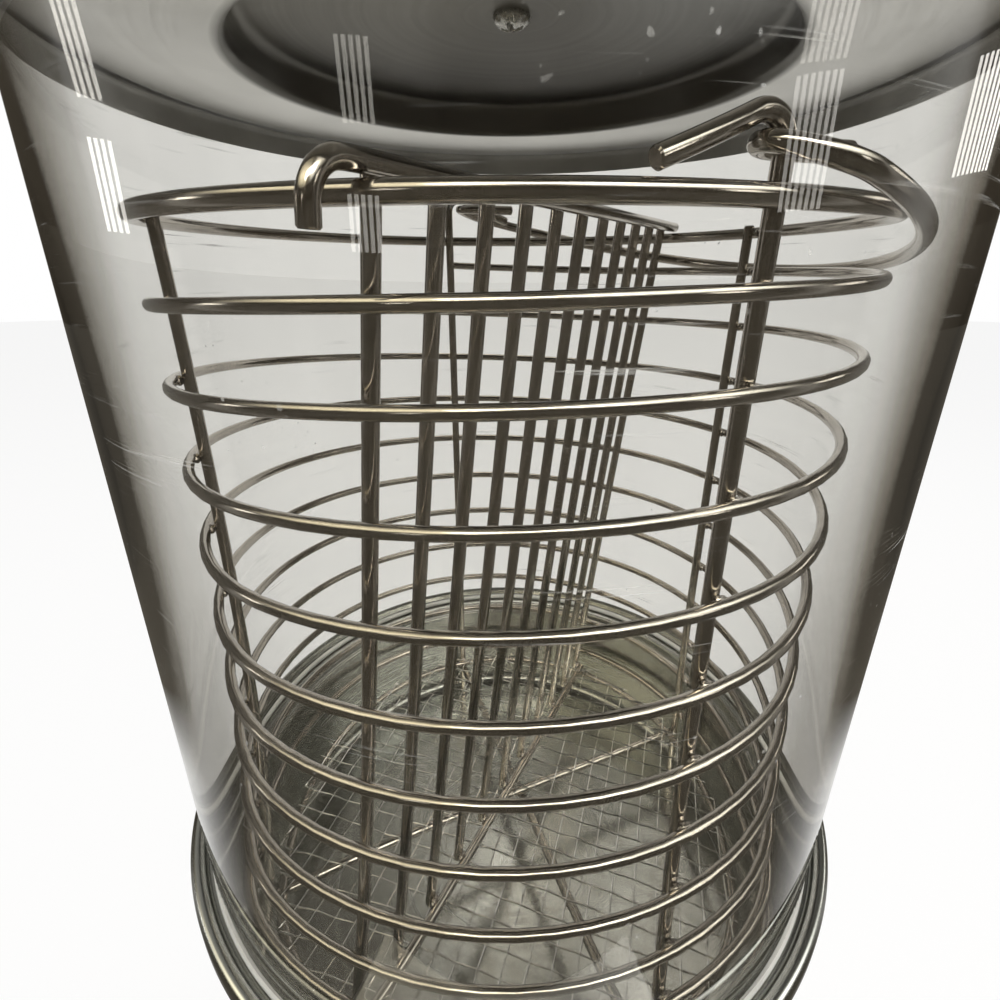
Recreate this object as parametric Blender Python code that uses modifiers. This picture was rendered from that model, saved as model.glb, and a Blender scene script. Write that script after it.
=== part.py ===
"""Countertop hot dog steamer, built from separate pieces.

A round heated base carries a water well with a rolled rim. A glass cylinder stands
on the well's flange and is closed by a lid. A wire basket stands in the well: a top
ring, a helical coil, four uprights, a woven floor and a leaning divider, with a bail
handle that lies folded to the right. All lengths are in metres, +Z is up, the front
is -Y, and the origin lies on the table under the middle of the whole machine.
Plan angles are measured from the back (+Y) towards the right (+X).
"""
import math

import bmesh
import bpy
from mathutils import Matrix, Vector

# Driving dimensions
GLASS_RADIUS = 0.100
GLASS_WALL = 0.003
SHEET = 0.001
GAP = 0.0003
OVERRUN = 0.005
FOOT_HEIGHT = 0.009
BASE_HEIGHT = 0.130
WELL_DEPTH = 0.045
BASKET_CLEARANCE = 0.014
BASKET_TAPER = 0.001
BASKET_HEIGHT = 0.2160
BASKET_HEADROOM = 0.0295
BASKET_RADIUS = GLASS_RADIUS - BASKET_CLEARANCE
GLASS_HEIGHT = BASKET_HEIGHT - WELL_DEPTH + BASKET_HEADROOM
ROUND_STEPS = 36
SMALL_STEPS = 12

# Base housing
HOUSING_RADIUS = GLASS_RADIUS
HOUSING_LIP = 0.010
HOUSING_TOP_FLANGE = 0.006
FLANGE_TOP = FOOT_HEIGHT + BASE_HEIGHT
VENT_COUNT = 5
VENT_WIDTH = 0.004
VENT_HEIGHT = 0.022
VENT_SPACING_ANGLE = math.radians(9.0)
VENT_CENTRE_ANGLES = (math.radians(52.0), math.radians(-52.0))
VENT_BOTTOM = 0.024

# Well pan
PAN_WALL_INSET = 0.0105
PAN_WALL_RADIUS = GLASS_RADIUS - PAN_WALL_INSET
PAN_CORNER = 0.006
PAN_STEP_WIDTH = 0.003
PAN_STEP_DROP = 0.0025
PAN_FLANGE_REACH = 0.0012
RIM_ROLL = 0.0015
RIM_SKIRT = 0.0032

# Glass gasket
GASKET_THICKNESS = 0.0012
GASKET_PROUD = 0.0006
GASKET_INSET = 0.0008

# Lid
LID_OVERHANG = 0.0035
LID_SKIRT = 0.007
LID_RING_WIDTH = 0.0375
LID_CENTRE_RADIUS = GLASS_RADIUS - LID_RING_WIDTH
LID_STEP = 0.008
LID_CROWN = 0.004
LID_CORNER = 0.003
KNOB_RADIUS = 0.019
KNOB_WAIST_RADIUS = 0.011
KNOB_HEIGHT = 0.030
KNOB_CAP_HEIGHT = 0.014
KNOB_ROUND = 0.003
LID_SCREW_RADIUS = 0.002
LID_SCREW_HEAD = 0.0045
LID_SCREW_HEAD_HEIGHT = 0.0022
LID_SCREW_LENGTH = 0.014

# Basket wires
TOP_WIRE = 0.0016
COIL_WIRE = 0.0013
COIL_PITCH = 0.0177
COIL_LEAN = 0.0028
COIL_DROP = 0.0067
COIL_RISE = 0.0034
COIL_RISE_START = 0.5
COIL_TURNS = 10
COIL_POINTS = 24
UPRIGHT_WIRE = 0.0015
BOTTOM_WIRE = 0.0015
ROD_WIRE = 0.0015
UPRIGHT_ANGLES = {
    "front": math.radians(153.5),
    "right": math.radians(66.5),
    "back": math.radians(343.0),
    "left": math.radians(246.0),
}
UPRIGHT_TOP = 0.002
LEG_HEIGHT = 0.0175

# Woven floor
NET_THICKNESS = 0.0012
NET_WIRE = 0.0016
NET_PITCH = 0.0106
NET_ANGLE = math.radians(18.0)
NET_BORDER = 0.0016

# Divider, a flat fence of bars that leans to the right
FENCE_ANGLE = math.radians(28.1)
FENCE_TOP_OFFSET = 0.0202
FENCE_BOTTOM_OFFSET = -0.0021
FENCE_BARS = 11
FENCE_END_CLEARANCE = 0.009
FENCE_SPACING = 2.0 * (BASKET_RADIUS - FENCE_END_CLEARANCE) / (FENCE_BARS - 1)
FENCE_WIRE = 0.0015
FENCE_BAR_PROUD = 0.0005
HOOK_REACH = 0.0085
HOOK_BEND = 0.0052
HOOK_DROP = 0.0045
HOOK_POINTS = 7
RAIL_END_SHARE = 1.01

# Bail and its eyes
BAIL_WIRE = 0.0016
BAIL_CLEARANCE = 0.0095
BAIL_RADIUS = GLASS_RADIUS - BAIL_CLEARANCE
BAIL_DROP = 0.0192
BAIL_POINTS = 30
BAIL_TAIL = 0.020
BAIL_TAIL_SET = 0.0047
BAIL_BEND = 0.009
BAIL_END_SHARE = 0.7
BAIL_CORNER_SHARE = 0.4
TAIL_START_SHARE = 0.2
EYE_RADIUS = 0.0043
EYE_POINTS = 8
EYE_RISE = {"front": 0.0100, "back": 0.0143}
EYE_SLOPE = {"front": math.radians(22.0), "back": math.radians(22.0)}
EYE_TAIL_RISE = {"front": 0.0, "back": 0.0037}
EYE_TAIL_STEPS = 3

# Heater under the well
HEATER_INSET = 0.0345
HEATER_RADIUS = PAN_WALL_RADIUS - HEATER_INSET
HEATER_TUBE = 0.0042
HEATER_GAP_ANGLE = math.radians(24.0)
HEATER_POINTS = 36
HEATER_LEAD = 0.022
CLAMP_OVERHANG = 0.011
CLAMP_RADIUS = HEATER_RADIUS + CLAMP_OVERHANG
CLAMP_THICKNESS = 0.0015
CLAMP_HOLE = 0.0034
STUD_RADIUS = 0.003
STUD_LENGTH = 0.018
STUD_NUT_RADIUS = 0.0055
STUD_NUT_HEIGHT = 0.005
CUTOUT_RADIUS = 0.008
CUTOUT_HEIGHT = 0.008
CUTOUT_INSET = 0.0115
CUTOUT_PLACE = PAN_WALL_RADIUS - CUTOUT_INSET
CUTOUT_ANGLE = math.radians(200.0)
BULB_RADIUS = 0.003
BULB_INSET = 0.020
BULB_LENGTH = 2.0 * (HEATER_RADIUS - BULB_INSET)
BULB_PLACE_SHARE = 0.5

# Control box at the front
BOX_WIDTH = 0.116
BOX_BOTTOM = 0.024
BOX_HEIGHT = 0.082
BOX_REACH = 0.032
BOX_CORNER = 0.003
BOX_WINDOW_SIDE = 0.013
BOX_WINDOW_END = 0.012
BOX_WINDOW_WIDTH = BOX_WIDTH - 2.0 * BOX_WINDOW_SIDE
BOX_WINDOW_HEIGHT = BOX_HEIGHT - 2.0 * BOX_WINDOW_END
FASCIA_THICKNESS = 0.0015
FASCIA_INSET = 0.0016
FASCIA_LEDGE = 0.005
SCREW_CLEARANCE = 0.0004

# Thermostat
DIAL_MARGIN = 0.009
DIAL_HEIGHT = 0.041
DIAL_RIM = 0.009
DIAL_THICKNESS = 0.0008
DIAL_KNOB_HEIGHT = 0.018
DIAL_SKIRT_HEIGHT = 0.004
DIAL_SKIRT_PROUD = 0.0015
DIAL_GRIP_WIDTH = 0.009
SHAFT_RADIUS = 0.003
SHAFT_BUSH_RADIUS = 0.005
SHAFT_DEPTH = 0.012
THERMOSTAT_WIDTH = 0.036
THERMOSTAT_HEIGHT = 0.036
THERMOSTAT_DEPTH = 0.026

# Rocker switch and pilot lamp
SWITCH_MARGIN = 0.014
SWITCH_SPACING = 0.015
SWITCH_HEIGHT = 0.053
SWITCH_WIDTH = 0.015
SWITCH_LENGTH = 0.021
SWITCH_BEZEL = 0.0025
SWITCH_BEZEL_PROUD = 0.002
SWITCH_DEPTH = 0.020
ROCKER_TILT = math.radians(9.0)
ROCKER_PROUD = 0.0042
ROCKER_DEPTH = 0.006
LAMP_HEIGHT = 0.022
LAMP_RADIUS = 0.0055
LAMP_BEZEL = 0.0020
LAMP_BEZEL_PROUD = 0.0015
LAMP_LENS_PROUD = 0.0035
LENS_SHOULDER_SHARE = 0.7
LENS_DOME_SHARE = 0.3
LAMP_DEPTH = 0.018

# The dial takes the fascia's width that the switch leaves, and the lamp sits under the switch
SWITCH_FACE = SWITCH_WIDTH + 2.0 * SWITCH_BEZEL
SWITCH_X = BOX_WIDTH / 2.0 - SWITCH_MARGIN - SWITCH_FACE / 2.0
DIAL_RADIUS = (BOX_WIDTH - DIAL_MARGIN - SWITCH_SPACING - SWITCH_FACE - SWITCH_MARGIN) / 2.0
DIAL_X = DIAL_MARGIN + DIAL_RADIUS - BOX_WIDTH / 2.0
DIAL_KNOB_RADIUS = DIAL_RADIUS - DIAL_RIM
LAMP_X = SWITCH_X

# Power inlet at the back
INLET_HEIGHT_ABOVE_TABLE = 0.046
INLET_FACE_WIDTH = 0.050
INLET_FACE_HEIGHT = 0.024
INLET_PROUD = 0.0055
INLET_BODY_WIDTH = 0.0275
INLET_BODY_HEIGHT = 0.020
INLET_BODY_DEPTH = 0.026
INLET_MOUTH_WIDTH = 0.0240
INLET_MOUTH_HEIGHT = 0.0165
INLET_MOUTH_DEPTH = 0.017
INLET_PIN_WIDTH = 0.004
INLET_PIN_THICKNESS = 0.002
INLET_PIN_LENGTH = 0.015
INLET_PIN_SPACING = 0.007
INLET_PIN_RISE = 0.002

# Feet, screws and wiring
FOOT_RADIUS = 0.011
FOOT_TAPER = 0.0015
FOOT_INSET = 0.022
FOOT_CIRCLE = HOUSING_RADIUS - FOOT_INSET
FOOT_ANGLES = tuple(math.radians(45.0 + 90.0 * i) for i in range(4))
FOOT_RECESS = 0.0055
FOOT_RECESS_DEPTH = 0.004
FOOT_SCREW_RADIUS = 0.002
FOOT_SCREW_HEAD = 0.004
FOOT_SCREW_HEAD_HEIGHT = 0.002
FOOT_SCREW_LENGTH = 0.012
HEAD_FLAT_SHARE = 0.75
HEAD_EDGE_SHARE = 0.45
SCREW_STEPS = 8
TERMINAL_WIDTH = 0.034
TERMINAL_DEPTH = 0.018
TERMINAL_HEIGHT = 0.015
TERMINAL_Y = 0.020
TERMINAL_X = -0.030

# Heights that follow from the sizes above
PLATE_TOP = FOOT_HEIGHT + SHEET
LIP_BOTTOM = PLATE_TOP + GAP
WELL_FLOOR = FLANGE_TOP - WELL_DEPTH
GASKET_BOTTOM = FLANGE_TOP + GAP
GLASS_BOTTOM = GASKET_BOTTOM + GASKET_THICKNESS + GAP
GLASS_TOP = GLASS_BOTTOM + GLASS_HEIGHT
LID_UNDERSIDE = GLASS_TOP + GAP
LEG_BOTTOM = WELL_FLOOR + GAP
RING_HEIGHT = WELL_FLOOR + BASKET_HEIGHT
CROSS_ROD_HEIGHT = LEG_BOTTOM + LEG_HEIGHT
BOTTOM_RING_HEIGHT = CROSS_ROD_HEIGHT + 2.0 * ROD_WIRE + GAP
NET_BOTTOM = BOTTOM_RING_HEIGHT + BOTTOM_WIRE + GAP
NET_TOP = NET_BOTTOM + NET_THICKNESS

# Radii that follow from the sizes above
COIL_FLAT_RADIUS = BASKET_RADIUS * math.cos(math.pi / COIL_POINTS)
UPRIGHT_RADIUS = COIL_FLAT_RADIUS - COIL_WIRE - GAP - UPRIGHT_WIRE
UPRIGHT_FOOT_RADIUS = UPRIGHT_RADIUS - BASKET_TAPER
TOP_RING_RADIUS = (UPRIGHT_RADIUS + UPRIGHT_WIRE + GAP + TOP_WIRE) / math.cos(math.pi / ROUND_STEPS)
BOTTOM_RING_RADIUS = UPRIGHT_FOOT_RADIUS - UPRIGHT_WIRE - GAP - BOTTOM_WIRE
NET_RADIUS = UPRIGHT_FOOT_RADIUS - UPRIGHT_WIRE - GAP
FASCIA_Y = -(HOUSING_RADIUS + BOX_REACH)
RIM_OUTER_RADIUS = GLASS_RADIUS + PAN_FLANGE_REACH + 3.0 * RIM_ROLL + SHEET / 2.0

# The whole machine is centred front to back on the origin
FRONT_REACH = -FASCIA_Y + DIAL_THICKNESS + 2.0 * GAP + DIAL_KNOB_HEIGHT
REAR_REACH = RIM_OUTER_RADIUS
AXIS_Y = (FRONT_REACH - REAR_REACH) / 2.0

COLOURS = {
    "stainless": ((0.62, 0.61, 0.58, 1.0), 0.28, 1.0),
    "bright_wire": ((0.66, 0.64, 0.60, 1.0), 0.18, 1.0),
    "glass": ((0.88, 0.92, 0.90, 0.3), 0.02, 0.0),
    "black_plastic": ((0.02, 0.02, 0.022, 1.0), 0.35, 0.0),
    "black_rubber": ((0.025, 0.025, 0.025, 1.0), 0.8, 0.0),
    "silicone": ((0.75, 0.75, 0.72, 1.0), 0.5, 0.0),
    "heater_steel": ((0.25, 0.24, 0.23, 1.0), 0.5, 1.0),
    "zinc": ((0.7, 0.7, 0.68, 1.0), 0.4, 1.0),
    "dial_face": ((0.75, 0.75, 0.74, 1.0), 0.4, 0.6),
    "amber_lens": ((0.9, 0.35, 0.05, 1.0), 0.15, 0.0),
    "red_rocker": ((0.65, 0.04, 0.03, 1.0), 0.3, 0.0),
    "white_ceramic": ((0.85, 0.84, 0.8, 1.0), 0.5, 0.0),
    "brass": ((0.75, 0.58, 0.28, 1.0), 0.35, 1.0),
}


def clear_scene():
    """Remove what the new file holds."""
    for item in list(bpy.data.objects):
        bpy.data.objects.remove(item, do_unlink=True)


def make_collection(name):
    """Add a collection to the scene."""
    group = bpy.data.collections.new(name)
    bpy.context.scene.collection.children.link(group)
    return group


def make_material(name, finish):
    """One Principled BSDF material in a named finish."""
    colour, roughness, metallic = COLOURS[finish]
    material = bpy.data.materials.new(name)
    material.use_nodes = True
    shader = material.node_tree.nodes["Principled BSDF"]
    shader.inputs["Base Color"].default_value = colour
    shader.inputs["Roughness"].default_value = roughness
    shader.inputs["Metallic"].default_value = metallic
    shader.inputs["Alpha"].default_value = colour[3]
    material.diffuse_color = colour
    return material


def place(item, finish, parent):
    """Put an object into the parts collection, with its material and parent."""
    PARTS.objects.link(item)
    item.data.materials.append(make_material(item.name + "_finish", finish))
    item.parent = parent
    return item


def empty(name, location, parent):
    """An empty that carries moving pieces on their joint's axis."""
    item = bpy.data.objects.new(name, None)
    PARTS.objects.link(item)
    item.location = location
    item.parent = parent
    return item


def polar(radius, angle, height):
    """A point at a plan angle from the back towards the right."""
    return Vector((radius * math.sin(angle), radius * math.cos(angle), height))


def arc(centre, radius, start, end, count):
    """Points of a flat arc, angles in degrees, both ends included."""
    points = []
    for i in range(count + 1):
        angle = math.radians(start + (end - start) * i / count)
        points.append((centre[0] + radius * math.cos(angle),
                       centre[1] + radius * math.sin(angle)))
    return points


def offset_line(points, distance):
    """Shift an open outline sideways, keeping its corners mitred."""
    shifted = []
    last = len(points) - 1
    for i, point in enumerate(points):
        before = Vector(points[max(i - 1, 0)])
        after = Vector(points[min(i + 1, last)])
        here = Vector(point)
        first = (here - before).normalized() if i > 0 else (after - here).normalized()
        second = (after - here).normalized() if i < last else first
        side = Vector((-first.y - second.y, first.x + second.x)).normalized()
        stretch = max(side.dot(Vector((-first.y, first.x))), 0.5)
        shifted.append(tuple(here + side * (distance / stretch)))
    return shifted


def sheet_outline(points, thickness):
    """The two faces of a sheet that follows a centre line, as one outline."""
    left = offset_line(points, thickness / 2.0)
    right = offset_line(points, -thickness / 2.0)
    if points[0][0] == 0.0:
        left[0] = (0.0, left[0][1])
        right[0] = (0.0, right[0][1])
    return left + right[::-1]


def outline_area(points):
    """Twice the signed area of a flat outline."""
    pairs = zip(points, points[1:] + points[:1])
    return sum(a[0] * b[1] - b[0] * a[1] for a, b in pairs)


def smooth(item, angle=math.radians(35.0)):
    """Shade a round mesh smooth, with its edges kept sharp."""
    item.data.shade_smooth()
    item.data.set_sharp_from_angle(angle=angle)
    return item


def turned(name, outline, finish, parent, steps=ROUND_STEPS, location=(0.0, 0.0, 0.0)):
    """Turn a closed outline of (radius, height) points about the vertical axis."""
    if outline_area(outline) > 0.0:
        outline = outline[::-1]
    tiny = SHEET / 100.0
    on_axis = [i for i, point in enumerate(outline) if abs(point[0]) < tiny]
    closed = not on_axis
    if on_axis:
        count = len(outline)
        start = next(i for i in on_axis if abs(outline[(i - 1) % count][0]) < tiny)
        outline = outline[start:] + outline[:start]
    mesh = bpy.data.meshes.new(name)
    vertices = [(x, 0.0, z) for x, z in outline]
    edges = [(i, i + 1) for i in range(len(outline) - 1)]
    if closed:
        edges.append((len(outline) - 1, 0))
    mesh.from_pydata(vertices, edges, [])
    item = place(bpy.data.objects.new(name, mesh), finish, parent)
    item.location = location
    screw = item.modifiers.new("turn", "SCREW")
    screw.axis = "Z"
    screw.steps = steps
    screw.render_steps = steps
    screw.use_merge_vertices = True
    screw.merge_threshold = 0.00001
    screw.use_smooth_shade = True
    return item


def from_bmesh(name, shape, finish, parent, location=(0.0, 0.0, 0.0)):
    """Turn a finished bmesh into an object."""
    bmesh.ops.recalc_face_normals(shape, faces=shape.faces)
    mesh = bpy.data.meshes.new(name)
    shape.to_mesh(mesh)
    shape.free()
    item = place(bpy.data.objects.new(name, mesh), finish, parent)
    item.location = location
    return item


def add_box(shape, size, centre):
    """Add a box to a bmesh."""
    matrix = Matrix.Translation(centre) @ Matrix.Diagonal((*size, 1.0))
    bmesh.ops.create_cube(shape, size=1.0, matrix=matrix)


def add_cylinder(shape, radius, low, high, steps=SMALL_STEPS, top_radius=None):
    """Add a cylinder or cone between two points to a bmesh."""
    low, high = Vector(low), Vector(high)
    turn = (high - low).to_track_quat("Z", "Y").to_matrix().to_4x4()
    matrix = Matrix.Translation((low + high) / 2.0) @ turn
    bmesh.ops.create_cone(shape, cap_ends=True, segments=steps, radius1=radius,
                          radius2=radius if top_radius is None else top_radius,
                          depth=(high - low).length, matrix=matrix)


def box(name, size, centre, finish, parent):
    """A box as an object whose origin is its centre."""
    shape = bmesh.new()
    add_box(shape, size, (0.0, 0.0, 0.0))
    return from_bmesh(name, shape, finish, parent, centre)


def cylinder(name, radius, low, high, finish, parent, steps=SMALL_STEPS, top_radius=None):
    """A cylinder or cone between two points as an object."""
    shape = bmesh.new()
    add_cylinder(shape, radius, low, high, steps, top_radius)
    return smooth(from_bmesh(name, shape, finish, parent))


def bevel(item, width, segments=2):
    """Round the edges of an object."""
    rounding = item.modifiers.new("rounding", "BEVEL")
    rounding.width = width
    rounding.segments = segments
    rounding.limit_method = "ANGLE"
    return item


def cutter(name, shape, parent):
    """Keep a bmesh as a hidden cutting shape."""
    bmesh.ops.recalc_face_normals(shape, faces=shape.faces)
    mesh = bpy.data.meshes.new(name)
    shape.to_mesh(mesh)
    shape.free()
    item = bpy.data.objects.new(name, mesh)
    CUTTERS.objects.link(item)
    item.parent = parent
    item.hide_render = True
    item.display_type = "WIRE"
    return item


def cut(item, tool, operation="DIFFERENCE"):
    """Cut one object with another."""
    step = item.modifiers.new(tool.name, "BOOLEAN")
    step.operation = operation
    step.object = tool
    step.solver = "EXACT"
    return item


def wire(name, points, radius, finish, parent, resolution=1):
    """A round wire along a line of points."""
    curve = bpy.data.curves.new(name, "CURVE")
    curve.dimensions = "3D"
    curve.bevel_depth = radius
    curve.bevel_resolution = resolution
    curve.use_fill_caps = True
    line = curve.splines.new("POLY")
    line.points.add(len(points) - 1)
    for target, point in zip(line.points, points):
        target.co = (*point, 1.0)
    return place(bpy.data.objects.new(name, curve), finish, parent)


def ring(name, radius, thickness, height, finish, parent, sides=6):
    """A closed round wire ring."""
    bpy.ops.mesh.primitive_torus_add(major_segments=ROUND_STEPS, minor_segments=sides,
                                     major_radius=radius, minor_radius=thickness)
    item = bpy.context.object
    for group in list(item.users_collection):
        group.objects.unlink(item)
    item.name = name
    item.data.name = name
    item.location = (0.0, 0.0, height)
    place(item, finish, parent)
    return smooth(item, math.radians(70.0))


def screw(name, centre, direction, sizes, finish, parent):
    """A screw with a domed head under a point and a shank along a direction."""
    radius, head_radius, head_height, length = sizes
    outline = [(0.0, -head_height), (head_radius * HEAD_FLAT_SHARE, -head_height),
               (head_radius, -head_height * HEAD_EDGE_SHARE), (head_radius, 0.0),
               (radius, 0.0), (radius, length), (0.0, length)]
    item = turned(name, outline, finish, parent, SCREW_STEPS, centre)
    item.rotation_euler = Vector(direction).to_track_quat("Z", "Y").to_euler()
    return item


def build_housing(root):
    """The round shell, its bottom plate and its ventilation slots."""
    radius = HOUSING_RADIUS - SHEET / 2.0
    top = FLANGE_TOP - SHEET - GAP - SHEET / 2.0
    low = LIP_BOTTOM + SHEET / 2.0
    line = ([(radius - HOUSING_TOP_FLANGE, top)]
            + arc((radius - SHEET, top - SHEET), SHEET, 90.0, 0.0, 2)
            + [(radius, low + SHEET), (radius - SHEET, low), (radius - HOUSING_LIP, low)])
    shell = turned("housing_shell", sheet_outline(line, SHEET), "stainless", root)

    slots = bmesh.new()
    middle = (VENT_COUNT - 1) / 2.0
    for centre_angle in VENT_CENTRE_ANGLES:
        for i in range(VENT_COUNT):
            angle = centre_angle + (i - middle) * VENT_SPACING_ANGLE
            centre = polar(radius, angle, VENT_BOTTOM + VENT_HEIGHT / 2.0)
            matrix = (Matrix.Translation(centre) @ Matrix.Rotation(-angle, 4, "Z")
                      @ Matrix.Diagonal((VENT_WIDTH, 2.0 * OVERRUN, VENT_HEIGHT, 1.0)))
            bmesh.ops.create_cube(slots, size=1.0, matrix=matrix)
    cut(shell, cutter("vent_slots", slots, root))

    window = bmesh.new()
    add_box(window, (BOX_WINDOW_WIDTH, 4.0 * OVERRUN, BOX_WINDOW_HEIGHT),
            (0.0, -radius + OVERRUN, BOX_BOTTOM + BOX_HEIGHT / 2.0))
    add_box(window, (INLET_BODY_WIDTH + 2.0 * GAP, 4.0 * OVERRUN, INLET_BODY_HEIGHT + 2.0 * GAP),
            (0.0, radius, INLET_HEIGHT_ABOVE_TABLE))
    cut(shell, cutter("housing_windows", window, root))

    outline = [(0.0, FOOT_HEIGHT), (HOUSING_RADIUS - SHEET, FOOT_HEIGHT),
               (HOUSING_RADIUS - SHEET, PLATE_TOP), (0.0, PLATE_TOP)]
    plate = turned("bottom_plate", outline, "zinc", root)
    holes = bmesh.new()
    reach = Vector((0, 0, OVERRUN))
    for angle in FOOT_ANGLES:
        centre = polar(FOOT_CIRCLE, angle, FOOT_HEIGHT)
        add_cylinder(holes, FOOT_SCREW_RADIUS + SCREW_CLEARANCE, centre - reach, centre + reach, 10)
    cut(plate, cutter("plate_holes", holes, root))


def build_feet(root):
    """Four rubber feet with their screws."""
    top = FOOT_HEIGHT - GAP
    outline = [(FOOT_SCREW_RADIUS + SCREW_CLEARANCE, top), (FOOT_RADIUS, top),
               (FOOT_RADIUS - FOOT_TAPER, 0.0), (FOOT_RECESS, 0.0),
               (FOOT_RECESS, FOOT_RECESS_DEPTH),
               (FOOT_SCREW_RADIUS + SCREW_CLEARANCE, FOOT_RECESS_DEPTH)]
    for i, angle in enumerate(FOOT_ANGLES, 1):
        turned(f"foot_{i}", outline, "black_rubber", root, SMALL_STEPS, polar(FOOT_CIRCLE, angle, 0.0))
    sizes = (FOOT_SCREW_RADIUS, FOOT_SCREW_HEAD, FOOT_SCREW_HEAD_HEIGHT, FOOT_SCREW_LENGTH)
    for i, angle in enumerate(FOOT_ANGLES, 1):
        centre = polar(FOOT_CIRCLE, angle, FOOT_RECESS_DEPTH - GAP)
        screw(f"foot_screw_{i}", centre, (0, 0, 1), sizes, "zinc", root)


def build_well(root):
    """The deep drawn water pan with its rolled rim."""
    half = SHEET / 2.0
    floor = WELL_FLOOR - half
    wall = PAN_WALL_RADIUS + half
    flange = FLANGE_TOP - half
    ledge = flange - PAN_STEP_DROP
    flange_inner = wall + PAN_STEP_WIDTH
    flange_outer = GLASS_RADIUS + PAN_FLANGE_REACH
    roll = RIM_ROLL
    line = ([(0.0, floor)]
            + arc((wall - PAN_CORNER, floor + PAN_CORNER), PAN_CORNER, -90.0, 0.0, 2)
            + [(wall, ledge), (flange_inner, ledge), (flange_inner, flange)]
            + arc((flange_outer, flange + roll), roll, -90.0, 0.0, 2)
            + arc((flange_outer + 2.0 * roll, flange + roll), roll, 180.0, 0.0, 4)[1:]
            + [(flange_outer + 3.0 * roll, flange + roll - RIM_SKIRT)])
    turned("well_pan", sheet_outline(line, SHEET), "stainless", root)


def build_glass(carrier, root):
    """The glass cylinder, which lifts off, and the gasket it stands on."""
    inner = GLASS_RADIUS - GLASS_WALL
    outline = [(inner, GLASS_BOTTOM), (GLASS_RADIUS, GLASS_BOTTOM),
               (GLASS_RADIUS, GLASS_TOP), (inner, GLASS_TOP)]
    turned("glass_cylinder", outline, "glass", carrier)

    seal_outer = GLASS_RADIUS + GASKET_PROUD
    seal_inner = GLASS_RADIUS - GLASS_WALL - GASKET_INSET
    outline = [(seal_inner, GASKET_BOTTOM), (seal_outer, GASKET_BOTTOM),
               (seal_outer, GASKET_BOTTOM + GASKET_THICKNESS),
               (seal_inner, GASKET_BOTTOM + GASKET_THICKNESS)]
    turned("glass_gasket", outline, "silicone", root)


def build_lid(carrier):
    """The pressed lid, its knob and the screw that holds the knob."""
    half = SHEET / 2.0
    ring_height = LID_UNDERSIDE + half
    outer = GLASS_RADIUS + LID_OVERHANG - half
    crown = ring_height + LID_STEP
    line = ([(0.0, crown + LID_CROWN), (LID_CENTRE_RADIUS - 2.0 * LID_CORNER, crown)]
            + arc((LID_CENTRE_RADIUS - LID_CORNER, crown - LID_CORNER), LID_CORNER, 60.0, 0.0, 2)
            + [(LID_CENTRE_RADIUS, ring_height + half), (LID_CENTRE_RADIUS + half, ring_height)]
            + arc((outer - LID_CORNER, ring_height - LID_CORNER), LID_CORNER, 90.0, 0.0, 2)
            + [(outer, ring_height - LID_SKIRT)])
    shell = turned("lid_shell", sheet_outline(line, SHEET), "stainless", carrier)
    top = crown + LID_CROWN + half
    hole = bmesh.new()
    add_cylinder(hole, LID_SCREW_RADIUS + SCREW_CLEARANCE, (0, 0, top - OVERRUN),
                 (0, 0, top + OVERRUN), 12)
    cut(shell, cutter("lid_hole", hole, carrier))

    low = top + GAP
    high = low + KNOB_HEIGHT
    waist_top = high - KNOB_CAP_HEIGHT
    bore = LID_SCREW_RADIUS + SCREW_CLEARANCE
    bore_top = low + LID_SCREW_LENGTH
    outline = ([(bore, low), (KNOB_WAIST_RADIUS + KNOB_ROUND, low), (KNOB_WAIST_RADIUS, low + KNOB_ROUND),
                (KNOB_WAIST_RADIUS, waist_top - KNOB_ROUND), (KNOB_RADIUS, waist_top)]
               + arc((KNOB_RADIUS - KNOB_ROUND, high - KNOB_ROUND), KNOB_ROUND, 0.0, 90.0, 3)
               + [(0.0, high), (0.0, bore_top), (bore, bore_top)])
    turned("lid_knob", outline, "black_plastic", carrier, 16)
    sizes = (LID_SCREW_RADIUS, LID_SCREW_HEAD, LID_SCREW_HEAD_HEIGHT, LID_SCREW_LENGTH)
    underside = crown + LID_CROWN - half - GAP
    screw("lid_knob_screw", (0.0, 0.0, underside), (0, 0, 1), sizes, "zinc", carrier)


def coil_point(angle):
    """A point of the coil, which comes down as it turns from the back to the right. Its
    front stands high in the second turn, and less so in each turn below."""
    turns = angle / (2.0 * math.pi)
    below = max(turns - COIL_RISE_START, 0.0)
    front_share = (1.0 - math.cos(angle)) / 2.0
    rise = COIL_RISE * below * math.exp(1.0 - below) * front_share
    height = RING_HEIGHT - COIL_DROP - COIL_PITCH * turns - COIL_LEAN * math.cos(angle) + rise
    narrowing = BASKET_TAPER * (RING_HEIGHT - height) / BASKET_HEIGHT
    return polar(BASKET_RADIUS - narrowing, angle, height)


def coil_least_gap(points):
    """The least clear distance between one turn of the coil and the next."""
    least = COIL_PITCH
    for i in range(len(points) - COIL_POINTS):
        for j in (i + COIL_POINTS - 1, i + COIL_POINTS, i + COIL_POINTS + 1):
            if j < len(points):
                least = min(least, (points[i] - points[j]).length)
    return least - 2.0 * COIL_WIRE


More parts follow.
